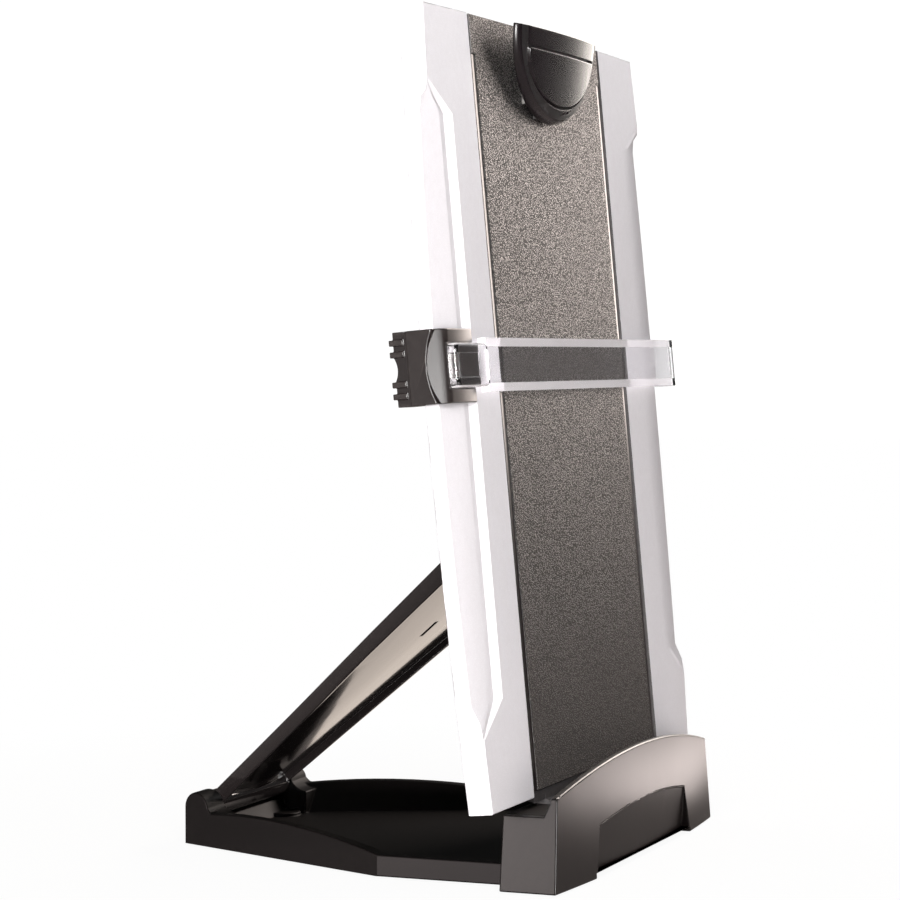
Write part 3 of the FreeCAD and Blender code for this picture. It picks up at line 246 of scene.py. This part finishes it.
plainLook = {  # what most of the mouldings share
    "fleckShare": 0.3, "patchShare": 0.2, "patchScale": 9.0, "wear": 0.3, "grainScale": 1500.0,
    "grainDepth": 0.00003, "grainStrength": 0.15, "metallic": 0.0, "ior": 1.5, "gloss": 0.5,
    "coat": 0.0, "coatRough": 0.1,
}
silverLook = {
    **plainLook, "colour": (0.60, 0.58, 0.605), "fleckColour": (0.76, 0.745, 0.77),
    "fleckShare": 0.35, "patchColour": (0.56, 0.54, 0.57), "patchScale": 7.0, "wear": 0.2,
    "wearColour": (0.75, 0.74, 0.78), "dust": 0.04, "grainDepth": 0.00006,
    "grainStrength": 0.35, "roughLow": 0.38, "roughHigh": 0.44, "metallic": 0.12, "gloss": 0.4,
}
trayLook = {
    **plainLook, "colour": (0.0045, 0.0035, 0.0035), "fleckColour": (0.010, 0.008, 0.008),
    "fleckShare": 0.25, "patchColour": (0.0055, 0.0045, 0.0045),
    "wearColour": (0.07, 0.06, 0.056), "dust": 0.02, "grainStrength": 0.1, "roughLow": 0.50,
    "roughHigh": 0.55, "gloss": 0.28,
}
clipLook = {
    **plainLook, "colour": (0.0105, 0.0072, 0.0090), "fleckColour": (0.020, 0.015, 0.017),
    "patchColour": (0.0115, 0.0085, 0.0095), "patchScale": 12.0,
    "wearColour": (0.08, 0.07, 0.066), "dust": 0.03, "roughLow": 0.22, "roughHigh": 0.25,
}
satinLook = {
    **plainLook, "colour": (0.0075, 0.0055, 0.0055), "fleckColour": (0.018, 0.014, 0.013),
    "patchColour": (0.009, 0.007, 0.0065), "wearColour": (0.08, 0.068, 0.064), "dust": 0.03,
    "roughLow": 0.30, "roughHigh": 0.32,
}
mattBlackLook = {
    **plainLook, "colour": (0.018, 0.016, 0.017), "fleckColour": (0.040, 0.036, 0.036),
    "fleckShare": 0.35, "patchColour": (0.024, 0.021, 0.021), "patchShare": 0.3,
    "patchScale": 12.0, "wearColour": (0.10, 0.09, 0.09), "dust": 0.08, "grainScale": 1400.0,
    "grainDepth": 0.00010, "grainStrength": 0.45, "roughLow": 0.50, "roughHigh": 0.58,
    "gloss": 0.4,
}
glossBlackLook = {
    **plainLook, "colour": (0.010, 0.008, 0.008), "fleckColour": (0.016, 0.014, 0.014),
    "patchColour": (0.012, 0.010, 0.010), "patchShare": 0.3, "patchScale": 12.0,
    "wearColour": (0.10, 0.09, 0.09), "dust": 0.04, "grainScale": 420.0, "grainDepth": 0.00002,
    "grainStrength": 0.12, "roughLow": 0.09, "roughHigh": 0.13, "ior": 1.52, "coat": 0.3,
    "coatRough": 0.06,
}
whiteLook = {
    **plainLook, "colour": (0.82, 0.82, 0.80), "fleckColour": (0.88, 0.88, 0.87),
    "fleckShare": 0.2, "patchColour": (0.76, 0.76, 0.75), "patchShare": 0.3, "wear": 0.1,
    "wearColour": (0.6, 0.6, 0.58), "dust": 0.05, "grainScale": 300.0, "grainDepth": 0.00002,
    "grainStrength": 0.1, "roughLow": 0.10, "roughHigh": 0.2, "coat": 0.3, "coatRough": 0.05,
}
rubberLook = {
    **plainLook, "colour": (0.026, 0.025, 0.025), "fleckColour": (0.050, 0.048, 0.047),
    "patchColour": (0.038, 0.036, 0.035), "patchShare": 0.35, "patchScale": 60.0,
    "wearColour": (0.09, 0.09, 0.09), "dust": 0.20, "grainScale": 900.0, "grainDepth": 0.0001,
    "grainStrength": 0.5, "roughLow": 0.7, "roughHigh": 0.86, "gloss": 0.3,
}
silverPlastic = mouldedPlastic("silverPlastic", silverLook)
trayPlastic = mouldedPlastic("trayPlastic", trayLook)
clipPlastic = mouldedPlastic("clipPlastic", clipLook)
satinPlastic = mouldedPlastic("satinPlastic", satinLook)
mattBlackPlastic = mouldedPlastic("mattBlackPlastic", mattBlackLook)
glossBlackPlastic = mouldedPlastic("glossBlackPlastic", glossBlackLook)
whiteEnamel = mouldedPlastic("whiteEnamel", whiteLook)
blackRubber = mouldedPlastic("blackRubber", rubberLook)

pebbleLook = {
    "scale": 1750.0, "grainDepth": 0.00015, "grainStrength": 1.0,
    "colour": (0.0060, 0.0048, 0.0045), "hollowShadeColour": (0.0015, 0.0012, 0.0012),
    "topGlintColour": (0.056, 0.047, 0.043), "wearColour": (0.12, 0.10, 0.09), "wear": 0.5,
    "patchScale": 16.0, "roughLow": 0.28, "roughHigh": 0.31, "hollowRough": 0.75,
    "glintFrom": 0.50, "glintFull": 0.66, "deepFrom": 0.50, "deepFull": 0.38,
}


def pebbledPlastic(look):
    material, tree, surface = startMaterial("pebbledPlastic")
    grain = useGroup(tree, pebbleGrain, Scale=look["scale"])
    patch = useGroup(tree, handling, Scale=look["patchScale"])["Patch"]
    wear = useGroup(tree, edgeWear, Amount=look["wear"])["Mask"]
    # painted highlight: the pebble tops get a lighter colour that stands in for the glints of
    # light on them
    tops = remap(tree, grain["Height"], look["glintFrom"], look["glintFull"])
    colour = mixColour(tree, tops, solid(look["colour"]), solid(look["topGlintColour"]))
    # painted shade: the hollows between the pebbles are darkened
    colour = mixColour(tree, grain["HollowShade"], colour, solid(look["hollowShadeColour"]))
    colour = mixColour(tree, wear, colour, solid(look["wearColour"]))
    rough = remap(tree, patch, 0.0, 1.0, look["roughLow"], look["roughHigh"])
    deep = remap(tree, grain["Height"], look["deepFrom"], look["deepFull"])
    dull = sums(tree, "MULTIPLY", deep, look["hollowRough"] - look["roughHigh"])
    tree.links.new(colour, surface["Base Color"])
    tree.links.new(sums(tree, "ADD", rough, dull), surface["Roughness"])
    addBump(tree, surface, grain["Height"], look)
    return material


pebbledBlack = pebbledPlastic(pebbleLook)

clearLook = {
    "tint": (0.975, 0.965, 0.975), "ior": 1.49, "rough": 0.02, "smudge": 0.10, "through": 1.0,
    "patchScale": 40.0, "smudgeFrom": 0.35, "flowScale": 55.0, "detail": 2.0,
    "grainDepth": 0.0004, "grainStrength": 0.25,
}
# painted highlight: the rims have a whiter tint and less transmission than the clear bar
rimHighlightLook = {**clearLook, "tint": (0.93, 0.90, 0.92), "rough": 0.06, "smudge": 0.16,
           "through": 0.62, "grainStrength": 0.6}


def clearAcrylic(name, look):  # clear, with smudges and a slight ripple from the moulding
    material, tree, surface = startMaterial(name)
    patch = useGroup(tree, handling, Scale=look["patchScale"])["Patch"]
    flow = noiseOver(tree, ownPlace(tree), look["flowScale"], look)
    smudged = remap(tree, patch, look["smudgeFrom"], 1.0, look["rough"], look["smudge"])
    tree.links.new(smudged, surface["Roughness"])
    addBump(tree, surface, flow, look)
    surface["Base Color"].default_value = solid(look["tint"])
    surface["Transmission Weight"].default_value = look["through"]
    surface["IOR"].default_value = look["ior"]
    return material


clearPlastic = clearAcrylic("clearAcrylic", clearLook)
clearRimHighlight = clearAcrylic("clearRimHighlight", rimHighlightLook)

steelLook = {
    "colour": (0.56, 0.55, 0.54), "darkColour": (0.30, 0.29, 0.28),
    "wearColour": (0.75, 0.74, 0.72), "wear": 0.6, "drawScale": 700.0,
    "stretch": (0.04, 1.0, 1.0), "detail": 4.0, "lineLow": 0.3, "lineHigh": 0.7,
    "roughLow": 0.22, "roughHigh": 0.42, "grainDepth": 0.00003, "grainStrength": 0.4,
}
blackSteelLook = {
    **steelLook, "colour": (0.060, 0.057, 0.056), "darkColour": (0.025, 0.023, 0.023),
    "wearColour": (0.30, 0.29, 0.28), "roughLow": 0.34, "roughHigh": 0.50,
}


def drawnSteel(name, look):  # fine lines along the wire or rod, which all lie along X
    material, tree, surface = startMaterial(name)
    along = put(tree, "ShaderNodeMapping", {"Vector": ownPlace(tree), "Scale": look["stretch"]})
    lines = noiseOver(tree, along.outputs[0], look["drawScale"], look)
    wear = useGroup(tree, edgeWear, Amount=look["wear"])["Mask"]
    colour = mixColour(tree, lines, solid(look["darkColour"]), solid(look["colour"]))
    colour = mixColour(tree, wear, colour, solid(look["wearColour"]))
    rough = remap(tree, lines, look["lineLow"], look["lineHigh"], look["roughLow"],
                  look["roughHigh"])
    tree.links.new(colour, surface["Base Color"])
    tree.links.new(rough, surface["Roughness"])
    addBump(tree, surface, lines, look)
    surface["Metallic"].default_value = 1.0
    return material


steelWire = drawnSteel("drawnSteel", steelLook)
blackSteel = drawnSteel("blackSteel", blackSteelLook)
print("finishes are made")


# Pieces

meshCare = {"mergeGap": 0.000003, "flatAngle": 0.5, "cutGap": 0.000001, "sharpAngle": 32.0}
bodyOf = {node: body for body, nodes in frame["record"]["behaviour"]["bodies"].items()
          for node in nodes}


def tidyShape(node):  # a node's own mesh, merged, with its flat parts as single faces
    shape = bmesh.new()
    shape.from_mesh(frame["nodes"][node].data)
    bmesh.ops.remove_doubles(shape, verts=shape.verts, dist=meshCare["mergeGap"])
    bmesh.ops.dissolve_limit(shape, angle_limit=radians(meshCare["flatAngle"]),
                             verts=shape.verts, edges=shape.edges)
    return shape


def cutAcross(shape, x):  # an edge loop round the shape where it crosses x
    bmesh.ops.bisect_plane(shape, geom=[*shape.verts, *shape.edges, *shape.faces],
                           dist=meshCare["cutGap"], plane_co=(x, 0, 0), plane_no=(1, 0, 0))


def keptInBox(piece, node):  # rounding that overshoots a sharp corner comes back to the part
    bpy.context.view_layer.update()
    rounded = bpy.data.meshes.new_from_object(
        piece.evaluated_get(bpy.context.evaluated_depsgraph_get()))
    low, high = [[pick(vert.co[i] for vert in frame["nodes"][node].data.vertices)
                  for i in range(3)] for pick in (min, max)]
    for vert in rounded.vertices:
        for i in range(3):
            vert.co[i] = min(max(vert.co[i], low[i]), high[i])
    piece.modifiers.clear()
    piece.data = rounded


def softened(name, node, shape, finishes, look):  # the piece, with its edges rounded
    mesh = bpy.data.meshes.new(name)
    shape.to_mesh(mesh)
    shape.free()
    for face in mesh.polygons:
        face.use_smooth = True
    mesh.set_sharp_from_angle(angle=radians(look.get("sharp", meshCare["sharpAngle"])))
    for finish in finishes:
        mesh.materials.append(finish)
    piece = bpy.data.objects.new(name, mesh)
    scene.collection.objects.link(piece)
    bevel = piece.modifiers.new("edgeRounding", "BEVEL")
    bevel.width = look["edgeRadius"]
    bevel.segments = look["edgeSteps"]
    bevel.limit_method = "ANGLE"
    bevel.angle_limit = radians(look["edgeAngle"])
    bevel.use_clamp_overlap = look.get("clamped", False)
    if look.get("boxed"):
        keptInBox(piece, node)
    even = piece.modifiers.new("evenShading", "WEIGHTED_NORMAL")
    even.keep_sharp = True
    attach(piece, bodyOf[node])
    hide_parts(node)
    return piece


def softenedCopy(name, node, finish, look):
    return softened(name, node, tidyShape(node), [finish], look)


boardPlace = {"foot": (0.0, -0.073903, 0.0337), "lean": 5.3}  # foot of the board's face
boardLean = radians(boardPlace["lean"])
boardUp = Vector((0, sin(boardLean), cos(boardLean)))
boardInward = Vector((0, cos(boardLean), -sin(boardLean)))


def onBoard(point):  # how far up the board and how far behind its face a point is
    away = point - Vector(boardPlace["foot"])
    return away.dot(boardUp), away.dot(boardInward)


boardShell = {"edgeRadius": 0.0007, "edgeSteps": 3, "edgeAngle": 28.0, "clamped": True,
              "channelHalf": 0.0788, "channelFloor": 0.0002, "footWall": 0.0021,
              "lugsBelow": 0.0003, "lipHalf": 0.0770, "lipDrop": 0.0020, "lipDepth": 0.0012,
              "facetStart": 0.1152, "facetFall": 0.14, "facetFront": 0.0006,
              "facetRear": 0.0024, "facetLow": 0.036, "facetHigh": 0.270, "beside": 0.0001}
shell = tidyShape("board_front_shell")
for half in (boardShell["channelHalf"], boardShell["lipHalf"]):
    cutAcross(shell, -half)
    cutAcross(shell, half)
for vert in shell.verts:
    up, behind = onBoard(vert.co)
    out = abs(vert.co.x)
    # a lip under the panel closes the gap over the ledge
    if (abs(up) < boardShell["lugsBelow"] and behind < boardShell["lipDepth"]
            and out < boardShell["lipHalf"] + boardShell["beside"]):
        vert.co.z -= boardShell["lipDrop"]
    # the tracks' wide facets fall away towards the board's sides
    elif (out > boardShell["facetStart"]
            and boardShell["facetFront"] < behind < boardShell["facetRear"]
            and boardShell["facetLow"] < up < boardShell["facetHigh"]):
        vert.co.y += boardShell["facetFall"] * (out - boardShell["facetStart"])
for face in shell.faces:  # the channel, the strip under the panel and the lugs get the matt black finish; in the channel and under the panel it is painted shade for the deep gap and the trough
    middle = face.calc_center_median()
    up, behind = onBoard(middle)
    inside = abs(middle.x) < boardShell["channelHalf"] + 2 * boardShell["beside"]
    sunk = behind > boardShell["channelFloor"] or up < boardShell["footWall"]
    if up < -boardShell["lugsBelow"] or inside and sunk:
        face.material_index = 1
paintedShell = softened("boardShell", "board_front_shell", shell,
                        [silverPlastic, mattBlackPlastic], boardShell)

backCover = {"edgeRadius": 0.0005, "edgeSteps": 2, "edgeAngle": 30.0}
softenedCopy("backCover", "board_back_cover", mattBlackPlastic, backCover)

pebblePanel = {"edgeRadius": 0.0003, "edgeSteps": 3, "edgeAngle": 30.0, "faceHalf": 0.0733,
               "boxed": True}
panel = tidyShape("centre_panel")
for face in panel.faces:  # the steps down each side are smooth
    if abs(face.calc_center_median().x) > pebblePanel["faceHalf"]:
        face.material_index = 1
softened("pebblePanel", "centre_panel", panel, [pebbledBlack, satinPlastic],
         pebblePanel)

clipLever = {"edgeRadius": 0.0003, "edgeSteps": 3, "edgeAngle": 50.0, "sharp": 40.0,
             "crown": 0.0019, "half": 0.0396, "loops": 14, "pin": (0, -0.051676, 0.318528),
             "lean": -5.2, "depth": 0.006, "raised": 0.0062, "grooveFloor": (0.0054, 0.0058),
             "grooveMore": 0.0008, "narrowed": 0.026, "lowered": 0.045, "faceMiddle": -0.0005,
             "shadowed": (0.0046, 0.0055)}
clipPin = Vector(clipLever["pin"])
clipLean = radians(clipLever["lean"])
clipOut = Vector((0, -cos(clipLean), sin(clipLean)))
clipUp = Vector((0, -clipOut.z, -clipOut.y))
clip = tidyShape("clip_body")
for vert in clip.verts:  # the groove round its inner face is deeper, with a sloping inner wall
    away = vert.co - clipPin
    proud = away.dot(clipOut)
    if proud > clipLever["raised"]:
        high = away.dot(clipUp) - clipLever["faceMiddle"]
        vert.co.x *= 1 - clipLever["narrowed"]
        vert.co -= clipUp * high * clipLever["lowered"]
    elif clipLever["grooveFloor"][0] < proud < clipLever["grooveFloor"][1]:
        vert.co -= clipOut * clipLever["grooveMore"]
for face in clip.faces:  # the groove's floor and outer wall get the matt black finish, as painted shade in the groove
    proud = (face.calc_center_median() - clipPin).dot(clipOut)
    if clipLever["shadowed"][0] < proud < clipLever["shadowed"][1]:
        face.material_index = 1
for i in range(clipLever["loops"]):
    cutAcross(clip, clipLever["half"] * (2 * (i + 0.5) / clipLever["loops"] - 1))
for vert in clip.verts:  # its front falls back towards its sides
    proud = max((vert.co - clipPin).dot(clipOut) / clipLever["depth"], 0)
    vert.co -= clipOut * clipLever["crown"] * min(proud, 1) * (vert.co.x / clipLever["half"]) ** 2
domedClip = softened("clipLever", "clip_body", clip, [clipPlastic, mattBlackPlastic],
                     clipLever)

baseTray = {"edgeRadius": 0.0006, "edgeSteps": 3, "edgeAngle": 30.0, "boxed": True}
blackTray = softenedCopy("baseTray", "base_tray", trayPlastic, baseTray)
frontFascia = {"edgeRadius": 0.0006, "edgeSteps": 3, "edgeAngle": 26.0, "boxed": True}
bowedFascia = softenedCopy("frontFascia", "front_fascia", satinPlastic,
                           frontFascia)
easelStrut = {"edgeRadius": 0.0005, "edgeSteps": 3, "edgeAngle": 30.0}
softenedCopy("easelStrut", "easel_strut", glossBlackPlastic, easelStrut)
guideSlider = {"edgeRadius": 0.0004, "edgeSteps": 3, "edgeAngle": 30.0, "boxed": True}
slidePieces = [softenedCopy("guideSlider", "guide_slider", satinPlastic,
                            guideSlider)]
guideGrip = {"edgeRadius": 0.0003, "edgeSteps": 2, "edgeAngle": 30.0}
slidePieces.append(softenedCopy("guideGrip", "guide_grip", satinPlastic,
                                guideGrip))
guideBar = {"edgeRadius": 0.0007, "edgeSteps": 3, "edgeAngle": 30.0, "webShare": 0.74,
            "clamped": True}
bar = tidyShape("guide_bar")
heights = [onBoard(vert.co)[0] for vert in bar.verts]
barMiddle, barHalf = (max(heights) + min(heights)) / 2, (max(heights) - min(heights)) / 2
for face in bar.faces:  # the rims along its two long edges get a whiter, less clear finish, a painted highlight for the light they catch
    up = onBoard(face.calc_center_median())[0]
    if abs(up - barMiddle) > barHalf * guideBar["webShare"]:
        face.material_index = 1
clearBar = softened("guideBar", "guide_bar", bar, [clearPlastic, clearRimHighlight],
                    guideBar)
clearBar.visible_shadow = False  # light goes through it to the board
print("pieces with rounded edges are made")

finishOf = {
    "silver_plastic": silverPlastic, "pebbled_plastic": pebbledBlack,
    "dark_satin_plastic": satinPlastic, "black_matt_plastic": mattBlackPlastic,
    "gloss_black_plastic": glossBlackPlastic, "clear_plastic": clearPlastic,
    "white_board": whiteEnamel, "steel": steelWire, "rubber": blackRubber,
}
slotOf = {part["node"]: part["material_slot"] for part in frame["record"]["subparts"]}
for node, shown in frame["nodes"].items():
    for holder in shown.material_slots:
        holder.material = blackSteel if node == "clip_bracket" else finishOf[slotOf[node]]
print("the frame's own nodes have their finishes")


# Floor, light and camera

softBoxes = {  # each light, and where it is limited, the pieces that it reaches or misses
    "key": {"place": (-1.75, -0.62, 0.52), "aim": (0.0, 0.0, 0.15), "size": (1.2, 1.0),
            "power": 102.0, "tint": (1.0, 0.985, 0.97),
            "misses": [domedClip, bowedFascia, blackTray]},
    "card": {"place": (0.60, -0.27, 0.44), "aim": (0.0, -0.05, 0.25), "size": (0.22, 0.50),
             "power": 4.0, "tint": (1.0, 0.88, 0.81),
             "misses": [clearBar, domedClip, paintedShell]},
    "rim": {"place": (0.60, -0.02, 0.46), "aim": (0.0, -0.05, 0.28), "size": (0.33, 0.46),
            "power": 2.8, "tint": (1.0, 0.93, 0.86), "reaches": [domedClip, bowedFascia]},
    "edge": {"place": (-0.62, -1.25, 0.16), "aim": (0.0, -0.05, 0.12), "size": (0.3, 0.3),
             "power": 12.0, "tint": (1.0, 0.98, 0.97),
             "reaches": [domedClip, bowedFascia, *slidePieces]},
    "back": {"place": (0.9, 1.7, 1.3), "aim": (0.0, 0.0, 0.1), "size": (1.4, 1.4),
             "power": 12.0, "tint": (1.0, 0.98, 0.96), "misses": [blackTray]},
    "bounce": {"place": (0.24, 0.08, 0.004), "aim": (0.24, 0.08, 1.0), "size": (0.28, 0.30),
               "power": 0.27, "tint": (1.0, 0.87, 0.76)},
    "low": {"place": (0.60, -0.13, 0.13), "aim": (0.0, -0.09, 0.04), "size": (0.22, 0.24),
            "power": 0.27, "tint": (1.0, 0.90, 0.82), "reaches": [bowedFascia]},
    "glow": {"place": (0.30, -0.20, 0.005), "aim": (0.30, -0.20, 1.0), "size": (0.30, 0.16),
             "power": 0.75, "tint": (1.0, 0.88, 0.84), "reaches": [bowedFascia]},
    "side": {"place": (-1.25, 0.44, 0.12), "aim": (0.0, 0.0, 0.03), "size": (0.5, 0.4),
             "power": 4.0, "tint": (1.0, 0.90, 0.88), "reaches": [bowedFascia]},
    "rail": {"place": (-1.25, 0.42, 0.045), "aim": (0.0, -0.04, 0.01), "size": (0.5, 0.06),
             "power": 14.0, "tint": (1.0, 0.88, 0.87), "reaches": [blackTray]},
    "veil": {"place": (0.60, -0.28, 0.52), "aim": (0.0, -0.05, 0.30), "size": (0.18, 0.30),
             "power": 0.45, "tint": (1.0, 0.98, 0.98), "reaches": [paintedShell]},
}


def softBox(name, look):
    light = bpy.data.lights.new(name + "Light", "AREA")
    light.shape = "RECTANGLE"
    light.size, light.size_y = look["size"]
    light.energy = look["power"]
    light.color = look["tint"]
    lamp = bpy.data.objects.new(name + "Light", light)
    scene.collection.objects.link(lamp)
    lamp.location = look["place"]
    towards = Vector(look["aim"]) - Vector(look["place"])
    lamp.rotation_euler = towards.to_track_quat("-Z", "Y").to_euler()
    lamp.visible_camera = False
    return lamp


def limitLight(lamp, pieces, state):
    group = bpy.data.collections.new(lamp.name + "Reach")
    for i, piece in enumerate(pieces):
        group.objects.link(piece)
        group.collection_objects[i].light_linking.link_state = state
    lamp.light_linking.receiver_collection = group


for name, look in softBoxes.items():
    lamp = softBox(name, look)
    if "reaches" in look:
        limitLight(lamp, look["reaches"], "INCLUDE")
    if "misses" in look:
        limitLight(lamp, look["misses"], "EXCLUDE")


def startTree(holder):  # an empty node tree in a world or material
    holder.use_nodes = True
    holder.node_tree.nodes.clear()
    return holder.node_tree


# the sky is white to the eye and through the clear bar, and gives little light
skyLook = {"seen": (1, 1, 1), "seenStrength": 1.05, "lit": (1.0, 0.985, 0.97),
           "litStrength": 0.05, "aheadFull": 0.12}
sky = bpy.data.worlds.new("paleSky")
scene.world = sky
skyTree = startTree(sky)
seen = put(skyTree, "ShaderNodeBackground", {"Color": solid(skyLook["seen"]),
                                             "Strength": skyLook["seenStrength"]})
lit = put(skyTree, "ShaderNodeBackground", {"Color": solid(skyLook["lit"]),
                                            "Strength": skyLook["litStrength"]})
paths = put(skyTree, "ShaderNodeLightPath").outputs
skyWay = put(skyTree, "ShaderNodeSeparateXYZ",
             {0: put(skyTree, "ShaderNodeTexCoord").outputs["Generated"]}).outputs["Y"]
ahead = sums(skyTree, "MULTIPLY", paths["Is Transmission Ray"],
             remap(skyTree, skyWay, 0.0, skyLook["aheadFull"]))
looked = sums(skyTree, "MAXIMUM", paths["Is Camera Ray"], ahead)
both = put(skyTree, "ShaderNodeMixShader", {0: looked, 1: lit.outputs[0], 2: seen.outputs[0]})
put(skyTree, "ShaderNodeOutputWorld", {"Surface": both.outputs[0]})

# the floor fades to plain white away from the part, and looks darker in reflections
floorLook = {"size": 12.0, "colour": (0.80, 0.79, 0.78), "mirrored": (0.22, 0.205, 0.20),
             "white": (1, 1, 1), "whiteStrength": 1.0, "nearShare": 0.92, "fadeFrom": 0.10,
             "fadeFull": 0.42}
floorShape = bmesh.new()
bmesh.ops.create_grid(floorShape, x_segments=1, y_segments=1, size=floorLook["size"] / 2)
floorMesh = bpy.data.meshes.new("deskTop")
floorShape.to_mesh(floorMesh)
floorShape.free()
paleFloor = bpy.data.materials.new("paleFloor")
floorTree = startTree(paleFloor)
fromMiddle = put(floorTree, "ShaderNodeVectorMath", {0: ownPlace(floorTree)}, operation="LENGTH")
farOff = remap(floorTree, fromMiddle.outputs["Value"], floorLook["fadeFrom"],
               floorLook["fadeFull"], floorLook["nearShare"], 1.0)
paths = put(floorTree, "ShaderNodeLightPath").outputs
looked = sums(floorTree, "MAXIMUM", paths["Is Camera Ray"], paths["Is Transmission Ray"])
shade = mixColour(floorTree, paths["Is Glossy Ray"], solid(floorLook["colour"]),
                  solid(floorLook["mirrored"]))
shaded = put(floorTree, "ShaderNodeBsdfDiffuse", {"Color": shade})
glow = put(floorTree, "ShaderNodeEmission", {"Color": solid(floorLook["white"]),
                                             "Strength": floorLook["whiteStrength"]})
mixed = put(floorTree, "ShaderNodeMixShader", {0: sums(floorTree, "MULTIPLY", farOff, looked),
                                               1: shaded.outputs[0], 2: glow.outputs[0]})
put(floorTree, "ShaderNodeOutputMaterial", {"Surface": mixed.outputs[0]})
floorMesh.materials.append(paleFloor)
deskTop = bpy.data.objects.new("deskTop", floorMesh)
scene.collection.objects.link(deskTop)

cameraLook = {"place": (-1.15694, -0.464823, 0.20563), "heading": 68.437, "down": 1.849,
              "lens": 118.92, "sensor": 36.0, "near": 0.01, "far": 100.0}
eye = bpy.data.cameras.new("photoCamera")
eye.lens = cameraLook["lens"]
eye.sensor_width = cameraLook["sensor"]
eye.clip_start = cameraLook["near"]
eye.clip_end = cameraLook["far"]
viewer = bpy.data.objects.new("photoCamera", eye)
scene.collection.objects.link(viewer)
viewer.location = cameraLook["place"]
viewer.rotation_euler = (radians(90 - cameraLook["down"]), 0, radians(-cameraLook["heading"]))
scene.camera = viewer
scene.view_settings.view_transform = "Standard"
print("floor, light and camera are set")
